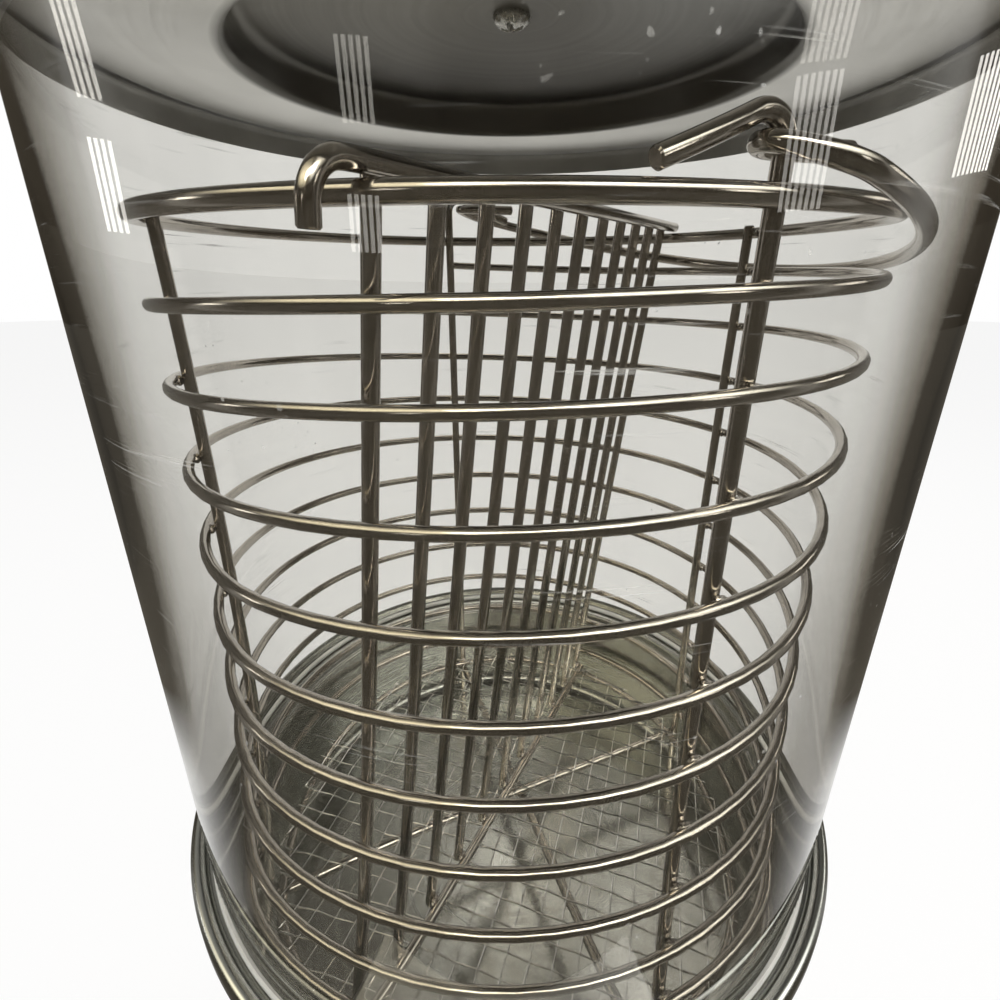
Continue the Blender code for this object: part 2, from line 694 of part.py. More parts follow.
def build_basket_frame(carrier):
    """The rings, the coil, the plain uprights and the cross rods."""
    ring("basket_top_ring", TOP_RING_RADIUS, TOP_WIRE, RING_HEIGHT, "bright_wire", carrier)
    ring("basket_bottom_ring", BOTTOM_RING_RADIUS, BOTTOM_WIRE, BOTTOM_RING_HEIGHT,
         "bright_wire", carrier)

    start = UPRIGHT_ANGLES["back"] - 2.0 * math.pi
    end = UPRIGHT_ANGLES["front"] + 2.0 * math.pi * COIL_TURNS
    count = round((end - start) / (2.0 * math.pi) * COIL_POINTS)
    points = [coil_point(start + (end - start) * i / count) for i in range(count + 1)]
    print("least gap of the coil to itself, mm:", round(coil_least_gap(points) * 1000.0, 2))
    wire("basket_coil", points, COIL_WIRE, "bright_wire", carrier)

    for side in ("right", "left"):
        angle = UPRIGHT_ANGLES[side]
        cylinder(f"basket_upright_{side}", UPRIGHT_WIRE, polar(UPRIGHT_FOOT_RADIUS, angle, LEG_BOTTOM),
                 polar(UPRIGHT_RADIUS, angle, RING_HEIGHT + UPRIGHT_TOP), "bright_wire", carrier, 8)

    reach = UPRIGHT_FOOT_RADIUS - UPRIGHT_WIRE - GAP
    heights = (CROSS_ROD_HEIGHT + 2.0 * ROD_WIRE + GAP, CROSS_ROD_HEIGHT)
    pairs = (("right", "left"), ("front", "back"))
    for i, (height, (first, second)) in enumerate(zip(heights, pairs), 1):
        low = polar(reach, UPRIGHT_ANGLES[first], height)
        high = polar(reach, UPRIGHT_ANGLES[second], height)
        if i == 1:
            inset = (low - high).normalized() * (2.0 * BOTTOM_WIRE + GAP)
            low, high = low - inset, high + inset
        cylinder(f"basket_cross_rod_{i}", ROD_WIRE, low, high, "bright_wire", carrier, 8)


def eye_point(side, along, height, share=0.0):
    """A point of an eye: along the basket's wall from its upright, at a height."""
    radius = UPRIGHT_RADIUS + (BASKET_RADIUS - UPRIGHT_RADIUS) * share
    return polar(radius, UPRIGHT_ANGLES[side] + along / UPRIGHT_RADIUS, height)


def pivot_point(side):
    """The middle of the bail's wire where it hangs inside an eye."""
    height = RING_HEIGHT + EYE_RISE[side] - UPRIGHT_WIRE - GAP - BAIL_WIRE
    return eye_point(side, EYE_RADIUS, height)


def build_eye_uprights(carrier):
    """The two uprights whose tops bend into an open eye for the bail."""
    rest = RING_HEIGHT + TOP_WIRE + GAP + UPRIGHT_WIRE
    for side in ("front", "back"):
        slope = EYE_SLOPE[side]
        middle = RING_HEIGHT + EYE_RISE[side] - EYE_RADIUS
        points = [polar(UPRIGHT_FOOT_RADIUS, UPRIGHT_ANGLES[side], LEG_BOTTOM)]
        for i in range(EYE_POINTS + 1):
            turn = math.pi - (math.pi / 2.0 + slope) * i / EYE_POINTS
            along = EYE_RADIUS + EYE_RADIUS * math.cos(turn)
            height = middle + EYE_RADIUS * math.sin(turn)
            points.append(eye_point(side, along, height))
        tail_drop = height - rest - EYE_TAIL_RISE[side]
        for i in range(1, EYE_TAIL_STEPS + 1):
            share = i / EYE_TAIL_STEPS
            points.append(eye_point(side, along + tail_drop * share / math.tan(slope),
                                    height - tail_drop * share, share))
        wire(f"basket_upright_{side}", points, UPRIGHT_WIRE, "bright_wire", carrier)


def build_floor(carrier):
    """The flat woven floor, a round net with square gaps."""
    curve = bpy.data.curves.new("basket_floor_net", "CURVE")
    curve.dimensions = "2D"
    curve.fill_mode = "BOTH"
    curve.extrude = NET_THICKNESS / 2.0

    def add_loop(corners):
        line = curve.splines.new("POLY")
        line.points.add(len(corners) - 1)
        for target, (x, y) in zip(line.points, corners):
            target.co = (x, y, 0.0, 1.0)
        line.use_cyclic_u = True

    add_loop([polar(NET_RADIUS, 2.0 * math.pi * i / ROUND_STEPS, 0.0)[:2]
              for i in range(ROUND_STEPS)])
    half = (NET_PITCH - NET_WIRE) / 2.0
    limit = NET_RADIUS * math.cos(math.pi / ROUND_STEPS) - NET_BORDER
    reach = int(NET_RADIUS / NET_PITCH) + 1
    gaps = 0
    for i in range(-reach, reach + 1):
        for j in range(-reach, reach + 1):
            x, y = i * NET_PITCH, j * NET_PITCH
            far = math.hypot(abs(x) + half, abs(y) + half)
            if far > limit:
                continue
            corners = [(x - half, y - half), (x + half, y - half),
                       (x + half, y + half), (x - half, y + half)]
            cos, sin = math.cos(NET_ANGLE), math.sin(NET_ANGLE)
            add_loop([(px * cos + py * sin, py * cos - px * sin) for px, py in corners])
            gaps += 1
    print("gaps in the woven floor:", gaps)
    item = place(bpy.data.objects.new("basket_floor_net", curve), "bright_wire", carrier)
    item.location = (0.0, 0.0, NET_BOTTOM + NET_THICKNESS / 2.0)


def fence_point(along, height, side=0.0):
    """A point of the leaning divider: along it, at a height, and off its bars' plane."""
    low = NET_TOP + GAP + FENCE_WIRE
    high = RING_HEIGHT + TOP_WIRE + FENCE_WIRE + GAP
    share = (height - low) / (high - low)
    offset = FENCE_BOTTOM_OFFSET + (FENCE_TOP_OFFSET - FENCE_BOTTOM_OFFSET) * share
    normal = Vector((math.cos(FENCE_ANGLE), -math.sin(FENCE_ANGLE), 0.0))
    direction = Vector((math.sin(FENCE_ANGLE), math.cos(FENCE_ANGLE), 0.0))
    return direction * along + normal * (offset + side) + Vector((0.0, 0.0, height))


def build_divider(carrier):
    """The divider: a hooked top rail, a bottom rail and a row of bars."""
    low = NET_TOP + GAP + FENCE_WIRE
    high = RING_HEIGHT + TOP_WIRE + FENCE_WIRE + GAP
    side = 2.0 * FENCE_WIRE + GAP
    half_length = FENCE_SPACING * (FENCE_BARS - 1) / 2.0
    for i in range(FENCE_BARS):
        along = -half_length + i * FENCE_SPACING
        cylinder(f"divider_bar_{i + 1:02d}", FENCE_WIRE,
                 fence_point(along, low - FENCE_WIRE), fence_point(along, high + FENCE_BAR_PROUD),
                 "bright_wire", carrier, 8)
    cylinder("divider_bottom_rail", FENCE_WIRE, fence_point(-half_length, low, side),
             fence_point(half_length, low, side), "bright_wire", carrier, 8)

    offset = FENCE_TOP_OFFSET + side
    crossing = math.sqrt(BASKET_RADIUS ** 2 - offset ** 2)
    bend_start = -crossing - HOOK_REACH + HOOK_BEND
    points = [fence_point(crossing * RAIL_END_SHARE, high, side), fence_point(0.0, high, side)]
    for i in range(HOOK_POINTS + 1):
        turn = math.pi / 2.0 * i / HOOK_POINTS
        points.append(fence_point(bend_start - HOOK_BEND * math.sin(turn),
                                  high - HOOK_BEND + HOOK_BEND * math.cos(turn), side))
    points.append(fence_point(bend_start - HOOK_BEND, RING_HEIGHT - HOOK_DROP, side))
    wire("divider_top_rail", points, FENCE_WIRE, "bright_wire", carrier)


def bail_axis():
    """The two pivots of the bail and the direction from the front one to the back one."""
    front, back = pivot_point("front"), pivot_point("back")
    return front, back, (back - front).normalized()


def build_bail(carrier):
    """The bail handle, folded to the right with its middle hanging low."""
    front, back, direction = bail_axis()
    normal = Vector((direction.y, -direction.x, 0.0)).normalized()
    middle = (front + back) / 2.0
    front_end = front - direction * (BAIL_RADIUS - math.hypot(front.x, front.y))
    back_end = back + direction * (BAIL_RADIUS - math.hypot(back.x, back.y))
    start = math.atan2(front_end.x, front_end.y)
    end = math.atan2(back_end.x, back_end.y)
    if start < end:
        start += 2.0 * math.pi
    deepest = BAIL_RADIUS - middle.dot(normal)

    def bow_point(angle):
        point = polar(BAIL_RADIUS, angle, 0.0)
        away = max((point - middle).dot(normal), 0.0)
        along = (point - front).dot(direction)
        point.z = front.z + direction.z * along - BAIL_DROP * away / deepest
        return point

    bend = BAIL_BEND / BAIL_RADIUS
    bow = [bow_point(start - bend + (end - start + 2.0 * bend) * i / BAIL_POINTS)
           for i in range(BAIL_POINTS + 1)]
    tail = normal * BAIL_TAIL
    corner = BAIL_CORNER_SHARE * BAIL_BEND
    end_run = BAIL_END_SHARE * BAIL_BEND
    front_in = front + direction * BAIL_TAIL_SET
    back_in = back - direction * BAIL_TAIL_SET
    points = ([front_in + tail, front_in + tail * TAIL_START_SHARE, front_in - direction * corner,
               front_end + direction * end_run] + bow
              + [back_end - direction * end_run, back_in + direction * corner,
                 back_in + tail * TAIL_START_SHARE, back_in + tail])
    local = [point - carrier.location for point in points]
    wire("bail_handle", local, BAIL_WIRE, "bright_wire", carrier)


def build_heater(root):
    """The heater ring with its clamp plate, stud, cut-out and sensing bulb."""
    underside = WELL_FLOOR - SHEET
    height = underside - GAP - HEATER_TUBE
    points = []
    start = math.pi + HEATER_GAP_ANGLE / 2.0
    end = 3.0 * math.pi - HEATER_GAP_ANGLE / 2.0
    for i in range(HEATER_POINTS + 1):
        points.append(polar(HEATER_RADIUS, start + (end - start) * i / HEATER_POINTS, height))
    bend = 2.0 * HEATER_TUBE
    first = points[0] + Vector((0.0, -bend, -bend / 2.0))
    last = points[-1] + Vector((0.0, -bend, -bend / 2.0))
    lead = Vector((0.0, 0.0, -HEATER_LEAD))
    drop = Vector((0.0, -bend / 2.0, -bend))
    points = ([first + drop + lead, first + drop, first] + points + [last, last + drop, last + drop + lead])
    wire("heater_ring", points, HEATER_TUBE, "heater_steel", root)

    plate_top = height - HEATER_TUBE - GAP
    notch = bmesh.new()
    outline = [(CLAMP_HOLE, plate_top - CLAMP_THICKNESS), (CLAMP_RADIUS, plate_top - CLAMP_THICKNESS),
               (CLAMP_RADIUS, plate_top), (CLAMP_HOLE, plate_top)]
    plate = turned("heater_clamp_plate", outline, "zinc", root, 32)
    width = 2.0 * (HEATER_RADIUS * math.sin(HEATER_GAP_ANGLE / 2.0) + 2.0 * HEATER_TUBE)
    add_box(notch, (width, CLAMP_RADIUS, 2.0 * OVERRUN),
            (0.0, -HEATER_RADIUS + HEATER_TUBE - CLAMP_RADIUS / 2.0 + bend / 2.0, plate_top))
    cut(plate, cutter("clamp_notch", notch, root))

    outline = [(0.0, underside - GAP), (STUD_RADIUS, underside - GAP),
               (STUD_RADIUS, plate_top - CLAMP_THICKNESS - GAP),
               (STUD_NUT_RADIUS, plate_top - CLAMP_THICKNESS - GAP),
               (STUD_NUT_RADIUS, plate_top - CLAMP_THICKNESS - GAP - STUD_NUT_HEIGHT),
               (STUD_RADIUS, plate_top - CLAMP_THICKNESS - GAP - STUD_NUT_HEIGHT),
               (STUD_RADIUS, underside - STUD_LENGTH - STUD_NUT_HEIGHT),
               (0.0, underside - STUD_LENGTH - STUD_NUT_HEIGHT)]
    turned("heater_stud", outline, "zinc", root, 12)

    centre = polar(CUTOUT_PLACE - CUTOUT_RADIUS, CUTOUT_ANGLE, underside - GAP)
    cylinder("thermal_cutout", CUTOUT_RADIUS, centre - Vector((0.0, 0.0, CUTOUT_HEIGHT)), centre,
             "white_ceramic", root)


def build_thermostat(root, knob_carrier):
    """The capillary thermostat, its sensing bulb, shaft, dial and knob."""
    height = BOX_BOTTOM + DIAL_HEIGHT
    back = FASCIA_Y + FASCIA_THICKNESS
    body_front = back + GAP
    body = box("thermostat_body", (THERMOSTAT_WIDTH, THERMOSTAT_DEPTH, THERMOSTAT_HEIGHT),
               (DIAL_X, body_front + THERMOSTAT_DEPTH / 2.0, height), "zinc", root)
    bevel(body, SHEET, 1)
    hole = bmesh.new()
    add_cylinder(hole, SHAFT_RADIUS + GAP, (DIAL_X, body_front - OVERRUN, height),
                 (DIAL_X, body_front + SHAFT_DEPTH, height), 12)
    cut(body, cutter("shaft_hole", hole, root))

    bulb_height = WELL_FLOOR - SHEET - GAP - BULB_RADIUS
    bulb_y = (HEATER_RADIUS - HEATER_TUBE) * BULB_PLACE_SHARE
    bulb_start = Vector((-BULB_LENGTH / 2.0, bulb_y, bulb_height))
    bulb_end = Vector((BULB_LENGTH / 2.0, bulb_y, bulb_height))
    cylinder("thermostat_bulb", BULB_RADIUS, bulb_start, bulb_end, "brass", root, 10)

    front = FASCIA_Y
    dial_front = front - GAP - DIAL_THICKNESS
    dial = cylinder("dial_plate", DIAL_RADIUS, (DIAL_X, front - GAP, height),
                    (DIAL_X, dial_front, height), "dial_face", root, 32)
    hole = bmesh.new()
    add_cylinder(hole, SHAFT_BUSH_RADIUS, (DIAL_X, front + OVERRUN, height),
                 (DIAL_X, dial_front - OVERRUN, height), 16)
    cut(dial, cutter("dial_hole", hole, root))

    knob_back = -(GAP + DIAL_THICKNESS + GAP)
    knob_front = knob_back - DIAL_KNOB_HEIGHT
    skirt = knob_back - DIAL_SKIRT_HEIGHT
    shape = bmesh.new()
    add_cylinder(shape, DIAL_KNOB_RADIUS, (0, knob_back, 0), (0, skirt, 0), 32)
    knob = smooth(from_bmesh("thermostat_knob", shape, "black_plastic", knob_carrier))
    grip = bmesh.new()
    grip_length = 2.0 * (DIAL_KNOB_RADIUS - DIAL_SKIRT_PROUD)
    add_box(grip, (DIAL_GRIP_WIDTH, knob_back - knob_front - DIAL_SKIRT_HEIGHT / 2.0, grip_length),
            (0.0, (skirt + DIAL_SKIRT_HEIGHT / 2.0 + knob_front) / 2.0, 0.0))
    trim = bmesh.new()
    add_cylinder(trim, DIAL_KNOB_RADIUS - DIAL_SKIRT_PROUD, (0, OVERRUN, 0),
                 (0, knob_front - OVERRUN, 0), 32)
    grip_tool = cutter("knob_grip", grip, knob_carrier)
    cut(grip_tool, cutter("knob_grip_round", trim, knob_carrier), "INTERSECT")
    cut(knob, grip_tool, "UNION")
    bore = bmesh.new()
    add_cylinder(bore, SHAFT_RADIUS + GAP, (0, OVERRUN, 0), (0, skirt - DIAL_SKIRT_HEIGHT, 0), 12)
    cut(knob, cutter("knob_bore", bore, knob_carrier))

    shaft_end = skirt - DIAL_SKIRT_HEIGHT + GAP
    shaft_back = FASCIA_THICKNESS + SHAFT_DEPTH - GAP
    cylinder("thermostat_shaft", SHAFT_RADIUS, (0, shaft_back, 0), (0, shaft_end, 0),
             "brass", knob_carrier, 12)


def build_control_box(root):
    """The control box on the housing's front, with its fascia and screws."""
    centre_z = BOX_BOTTOM + BOX_HEIGHT / 2.0
    back = OVERRUN - math.sqrt(HOUSING_RADIUS ** 2 - (BOX_WIDTH / 2.0) ** 2)
    front = FASCIA_Y
    depth = back - front
    shell = box("control_box", (BOX_WIDTH, depth, BOX_HEIGHT), (0.0, (back + front) / 2.0, centre_z),
                "stainless", root)
    bevel(shell, BOX_CORNER)
    inner = bmesh.new()
    add_box(inner, (BOX_WIDTH - 2.0 * FASCIA_LEDGE, depth + 2.0 * OVERRUN,
                    BOX_HEIGHT - 2.0 * FASCIA_LEDGE), (0.0, (back + front) / 2.0, centre_z))
    cut(shell, cutter("box_inside", inner, root))
    pocket = bmesh.new()
    pocket_front = front + FASCIA_THICKNESS + 3.0 * SHEET
    add_box(pocket, (BOX_WIDTH - 2.0 * SHEET, depth, BOX_HEIGHT - 2.0 * SHEET),
            (0.0, pocket_front + depth / 2.0, centre_z))
    cut(shell, bevel(cutter("box_pocket", pocket, root), BOX_CORNER - SHEET))
    seat = bmesh.new()
    add_box(seat, (BOX_WIDTH - 2.0 * FASCIA_INSET, 2.0 * FASCIA_THICKNESS + 2.0 * GAP,
                   BOX_HEIGHT - 2.0 * FASCIA_INSET), (0.0, front, centre_z))
    cut(shell, cutter("fascia_seat", seat, root))
    drum = bmesh.new()
    add_cylinder(drum, HOUSING_RADIUS + GAP, (0, 0, 0), (0, 0, BOX_BOTTOM + BOX_HEIGHT + BASE_HEIGHT),
                 ROUND_STEPS)
    cut(shell, cutter("housing_drum", drum, root))

    plate_inset = FASCIA_INSET + GAP
    plate_size = (BOX_WIDTH - 2.0 * plate_inset, FASCIA_THICKNESS, BOX_HEIGHT - 2.0 * plate_inset)
    fascia = box("control_fascia", plate_size, (0.0, front + FASCIA_THICKNESS / 2.0, centre_z),
                 "stainless", root)
    openings = bmesh.new()
    thick = 2.0 * OVERRUN
    dial_z = BOX_BOTTOM + DIAL_HEIGHT
    switch_z = BOX_BOTTOM + SWITCH_HEIGHT
    lamp_z = BOX_BOTTOM + LAMP_HEIGHT
    add_cylinder(openings, SHAFT_BUSH_RADIUS, (DIAL_X, front - thick, dial_z),
                 (DIAL_X, front + thick, dial_z), 16)
    add_box(openings, (SWITCH_WIDTH + 2.0 * GAP, 2.0 * thick, SWITCH_LENGTH + 2.0 * GAP),
            (SWITCH_X, front, switch_z))
    add_cylinder(openings, LAMP_RADIUS + GAP, (LAMP_X, front - thick, lamp_z),
                 (LAMP_X, front + thick, lamp_z), 16)
    cut(fascia, cutter("fascia_openings", openings, root))


def build_switch(root, rocker_carrier):
    """The rocker switch's body with its bezel, and the rocker on its axis."""
    height = BOX_BOTTOM + SWITCH_HEIGHT
    front = FASCIA_Y
    body = box("switch_body", (SWITCH_WIDTH, SWITCH_DEPTH, SWITCH_LENGTH),
               (SWITCH_X, front + SWITCH_DEPTH / 2.0, height), "black_plastic", root)
    rim = bmesh.new()
    add_box(rim, (SWITCH_FACE, SWITCH_BEZEL_PROUD,
                  SWITCH_LENGTH + 2.0 * SWITCH_BEZEL),
            (SWITCH_X, front - GAP - SWITCH_BEZEL_PROUD / 2.0, height))
    add_box(rim, (SWITCH_WIDTH, 2.0 * SWITCH_BEZEL_PROUD, SWITCH_LENGTH), (SWITCH_X, front, height))
    rim_tool = cutter("switch_rim", rim, root)
    cut(body, rim_tool, "UNION")
    well = bmesh.new()
    add_box(well, (SWITCH_WIDTH - 2.0 * SHEET, 4.0 * ROCKER_DEPTH, SWITCH_LENGTH - 2.0 * SHEET),
            (SWITCH_X, front, height))
    cut(body, cutter("switch_mouth", well, root))

    width = SWITCH_WIDTH - 2.0 * SHEET - 2.0 * GAP
    length = SWITCH_LENGTH - 4.0 * SHEET
    profile = bpy.data.curves.new("switch_rocker", "CURVE")
    profile.dimensions = "2D"
    profile.fill_mode = "BOTH"
    profile.extrude = width / 2.0
    half = length / 2.0
    proud = ROCKER_PROUD
    dip = SHEET
    outline = [(-half, -ROCKER_DEPTH), (half, -ROCKER_DEPTH), (half, proud), (0.0, proud - dip),
               (-half, proud)]
    line = profile.splines.new("POLY")
    line.points.add(len(outline) - 1)
    for target, (x, y) in zip(line.points, outline):
        target.co = (x, y, 0.0, 1.0)
    line.use_cyclic_u = True
    item = place(bpy.data.objects.new("switch_rocker", profile), "red_rocker", rocker_carrier)
    item.rotation_euler = Matrix(((0, 0, 1), (0, -1, 0), (1, 0, 0))).to_euler()
    item.rotation_euler.rotate(Matrix.Rotation(ROCKER_TILT, 3, "X"))


def build_lamp(root):
    """The pilot lamp's body with its bezel, and its lens."""
    height = BOX_BOTTOM + LAMP_HEIGHT
    front = FASCIA_Y
    outline = [(LAMP_RADIUS, -LAMP_DEPTH), (LAMP_RADIUS, GAP),
               (LAMP_RADIUS + LAMP_BEZEL, GAP), (LAMP_RADIUS + LAMP_BEZEL, GAP + LAMP_BEZEL_PROUD),
               (LAMP_RADIUS - SHEET, GAP + LAMP_BEZEL_PROUD), (LAMP_RADIUS - SHEET, -SHEET),
               (0.0, -SHEET), (0.0, -LAMP_DEPTH)]
    body = turned("pilot_lamp_body", outline, "black_plastic", root, SMALL_STEPS,
                  (LAMP_X, front, height))
    body.rotation_euler = (math.pi / 2.0, 0.0, 0.0)
    lens_radius = LAMP_RADIUS - SHEET - GAP
    lens_low = -SHEET + GAP
    dome = GAP + LAMP_LENS_PROUD
    outline = [(0.0, lens_low), (lens_radius, lens_low), (lens_radius, dome - SHEET),
               (lens_radius * LENS_SHOULDER_SHARE, dome - SHEET * LENS_DOME_SHARE), (0.0, dome)]
    lens = turned("pilot_lamp_lens", outline, "amber_lens", root, SMALL_STEPS,
                  (LAMP_X, front, height))
    lens.rotation_euler = (math.pi / 2.0, 0.0, 0.0)


def build_inlet(root):
    """The power inlet at the back, moulded round its three pins."""
    height = INLET_HEIGHT_ABOVE_TABLE
    face = HOUSING_RADIUS + INLET_PROUD
    inner = face - INLET_BODY_DEPTH
    socket = box("inlet_socket", (INLET_BODY_WIDTH, INLET_BODY_DEPTH, INLET_BODY_HEIGHT),
                 (0.0, (face + inner) / 2.0, height), "black_plastic", root)
    flange = bmesh.new()
    flange_back = HOUSING_RADIUS - OVERRUN
    add_box(flange, (INLET_FACE_WIDTH, face - flange_back, INLET_FACE_HEIGHT),
            (0.0, (face + flange_back) / 2.0, height))
    drum = bmesh.new()
    add_cylinder(drum, HOUSING_RADIUS + GAP, (0, 0, 0), (0, 0, BASE_HEIGHT), ROUND_STEPS)
    flange_tool = cutter("inlet_flange", flange, root)
    cut(flange_tool, cutter("inlet_drum", drum, root))
    cut(socket, flange_tool, "UNION")
    mouth = bmesh.new()
    add_box(mouth, (INLET_MOUTH_WIDTH, 2.0 * INLET_MOUTH_DEPTH, INLET_MOUTH_HEIGHT),
            (0.0, face, height))
    cut(socket, cutter("inlet_mouth", mouth, root))
    floor = face - INLET_MOUTH_DEPTH
    pins = bmesh.new()
    for column, rise in ((-1.0, -1.0), (0.0, 1.0), (1.0, -1.0)):
        add_box(pins, (INLET_PIN_THICKNESS, 2.0 * INLET_PIN_LENGTH, INLET_PIN_WIDTH),
                (column * INLET_PIN_SPACING, floor, height + rise * INLET_PIN_RISE))
    cut(socket, cutter("inlet_pins", pins, root), "UNION")


def build_terminals(root):
    """The terminal block on the bottom plate."""
    low = PLATE_TOP + GAP
    block = box("terminal_block", (TERMINAL_WIDTH, TERMINAL_DEPTH, TERMINAL_HEIGHT),
                (TERMINAL_X, TERMINAL_Y, low + TERMINAL_HEIGHT / 2.0), "white_ceramic", root)
    bevel(block, SHEET, 1)


def main():
    """Build every piece."""
    root = empty("machine_axis", (0.0, AXIS_Y, 0.0), None)
    glass_carrier = empty("glass_lift", (0.0, 0.0, 0.0), root)
    lid_carrier = empty("lid_lift", (0.0, 0.0, 0.0), glass_carrier)
    basket_carrier = empty("basket_lift", (0.0, 0.0, 0.0), root)
    front, back, _ = bail_axis()
    bail_carrier = empty("bail_swing", (front + back) / 2.0, basket_carrier)
    knob_carrier = empty("knob_turn", (DIAL_X, FASCIA_Y, BOX_BOTTOM + DIAL_HEIGHT), root)
    rocker_carrier = empty("rocker_tilt", (SWITCH_X, FASCIA_Y, BOX_BOTTOM + SWITCH_HEIGHT), root)

    build_housing(root)
    build_feet(root)
    build_well(root)
    build_glass(glass_carrier, root)
    build_lid(lid_carrier)
    build_basket_frame(basket_carrier)
    build_eye_uprights(basket_carrier)
    build_floor(basket_carrier)
    build_divider(basket_carrier)
    build_bail(bail_carrier)
    build_heater(root)
    build_thermostat(root, knob_carrier)
    build_control_box(root)
    build_switch(root, rocker_carrier)
    build_lamp(root)
    build_inlet(root)
    build_terminals(root)


clear_scene()
PARTS = make_collection("hot_dog_steamer")
CUTTERS = make_collection("cutters")
main()
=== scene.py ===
"""The looks of the hot dog steamer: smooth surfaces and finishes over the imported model.

Every surface is worked out as a grid of points with numpy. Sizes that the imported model
holds are read from it; the rest are named values in metres. Plan angles are measured from
the back (+Y) towards the right (+X), in radians unless a name says degrees.
"""

import math

import bmesh
import bpy
import numpy as np
from mathutils import Matrix, Vector


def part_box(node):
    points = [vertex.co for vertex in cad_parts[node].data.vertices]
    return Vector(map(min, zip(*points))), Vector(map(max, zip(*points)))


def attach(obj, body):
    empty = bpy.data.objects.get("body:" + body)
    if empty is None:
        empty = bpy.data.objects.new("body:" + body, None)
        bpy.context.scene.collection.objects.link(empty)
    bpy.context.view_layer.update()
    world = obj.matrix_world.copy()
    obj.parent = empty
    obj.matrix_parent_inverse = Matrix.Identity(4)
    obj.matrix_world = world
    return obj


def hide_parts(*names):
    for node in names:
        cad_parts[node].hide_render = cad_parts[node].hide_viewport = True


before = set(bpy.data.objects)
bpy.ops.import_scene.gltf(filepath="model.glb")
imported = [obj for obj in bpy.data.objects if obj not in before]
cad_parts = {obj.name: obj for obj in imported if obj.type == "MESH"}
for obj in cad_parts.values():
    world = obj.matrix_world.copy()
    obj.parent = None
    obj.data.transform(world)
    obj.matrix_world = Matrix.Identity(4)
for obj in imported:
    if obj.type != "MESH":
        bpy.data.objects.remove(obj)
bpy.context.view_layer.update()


def span(node):
    """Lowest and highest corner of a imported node, as arrays."""
    low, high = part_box(node)
    return np.array(low), np.array(high)


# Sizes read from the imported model
GLASS_LOW, GLASS_HIGH = span("glass_cylinder")
AXIS = (GLASS_LOW + GLASS_HIGH)[:2] / 2
GLASS_RADIUS = (GLASS_HIGH - GLASS_LOW)[0] / 2
FLANGE_TOP = span("glass_gasket")[0][2] - 0.0003
RIM_TOP = span("well_pan")[1][2]
WELL_UNDERSIDE = span("well_pan")[0][2]
LID_LOW, LID_HIGH = span("lid_shell")
KNOB_LOW, KNOB_HIGH = span("lid_knob")
RING_LOW, RING_HIGH = span("basket_top_ring")
NET_LOW, NET_HIGH = span("basket_floor_net")
ROD_1 = span("basket_cross_rod_1")
ROD_2 = span("basket_cross_rod_2")
BOTTOM_RING = span("basket_bottom_ring")
UPRIGHT_FOOT = span("basket_upright_right")[0][2]
HOUSING_LOW, HOUSING_HIGH = span("housing_shell")
BOX_LOW, BOX_HIGH = span("control_box")
DIAL_LOW, DIAL_HIGH = span("dial_plate")
KNOB_FACE_LOW, KNOB_FACE_HIGH = span("thermostat_knob")
SWITCH_LOW, SWITCH_HIGH = span("switch_body")
LAMP_LOW, LAMP_HIGH = span("pilot_lamp_body")
LENS_LOW, LENS_HIGH = span("pilot_lamp_lens")
INLET_LOW, INLET_HIGH = span("inlet_socket")

# Shared sizes
SHEET = 0.001
GAP = 0.0003
GLASS_WALL = 0.003
ROUND = 2 * math.pi
TURN_STEPS = 180

# Basket wires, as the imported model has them
TOP_WIRE = 0.0016
RING_HEIGHT = (RING_LOW + RING_HIGH)[2] / 2
RING_RADIUS = (RING_HIGH - RING_LOW)[0] / 2 - TOP_WIRE
BASKET_RADIUS = 0.086
BASKET_TAPER = 0.001
BASKET_HEIGHT = 0.2160
COIL_WIRE = 0.0013
COIL_PITCH = 0.0177
COIL_LEAN = 0.0028
COIL_DROP = 0.0067
COIL_RISE = 0.0034
COIL_RISE_START = 0.5
COIL_TURNS = 10
COIL_STEPS = 72
UPRIGHT_WIRE = 0.0015
UPRIGHT_RADIUS = RING_RADIUS - TOP_WIRE - GAP - UPRIGHT_WIRE
UPRIGHT_ANGLES = {"front": math.radians(153.5), "right": math.radians(66.5),
                  "back": math.radians(343.0), "left": math.radians(246.0)}
UPRIGHT_TOP = 0.002
UPRIGHT_FOOT_RADIUS = UPRIGHT_RADIUS - BASKET_TAPER
EYE_RADIUS = 0.0043
EYE_RISE = {"front": 0.0100, "back": 0.0143}
EYE_SLOPE = {"front": math.radians(22.0), "back": math.radians(22.0)}
EYE_TAIL_RISE = {"front": 0.0, "back": 0.0037}

# Woven floor
MESH_PITCH = 0.0066
MESH_WIRE = 0.00026
MESH_ANGLE = math.radians(18.0)

# Divider
FENCE_ANGLE = math.radians(28.1)
FENCE_TOP_OFFSET = 0.0202
FENCE_BOTTOM_OFFSET = -0.0021
FENCE_BARS = 11
FENCE_SPACING = 0.0154
FENCE_WIRE = 0.0015
FENCE_BAR_PROUD = 0.0005
HOOK_REACH = 0.0085
HOOK_BEND = 0.0052
HOOK_DROP = 0.0045

# Bail handle
BAIL_WIRE = 0.0016
BAIL_RADIUS = 0.0905
BAIL_DROP = 0.0192
BAIL_TAIL = 0.020
BAIL_TAIL_SET = 0.0047
BAIL_BEND = 0.009
BAIL_WEAR = 0.0002
BAIL_WEAR_REACH = 0.006
BAIL_EASE = 0.006


# Points and surfaces

def polar(radius, angle, height):
    """Points at a radius and plan angle about the machine's axis, at a height."""
    radius, angle, height = np.broadcast_arrays(radius, angle, height)
    return np.stack([AXIS[0] + radius * np.sin(angle), AXIS[1] + radius * np.cos(angle), height], -1)


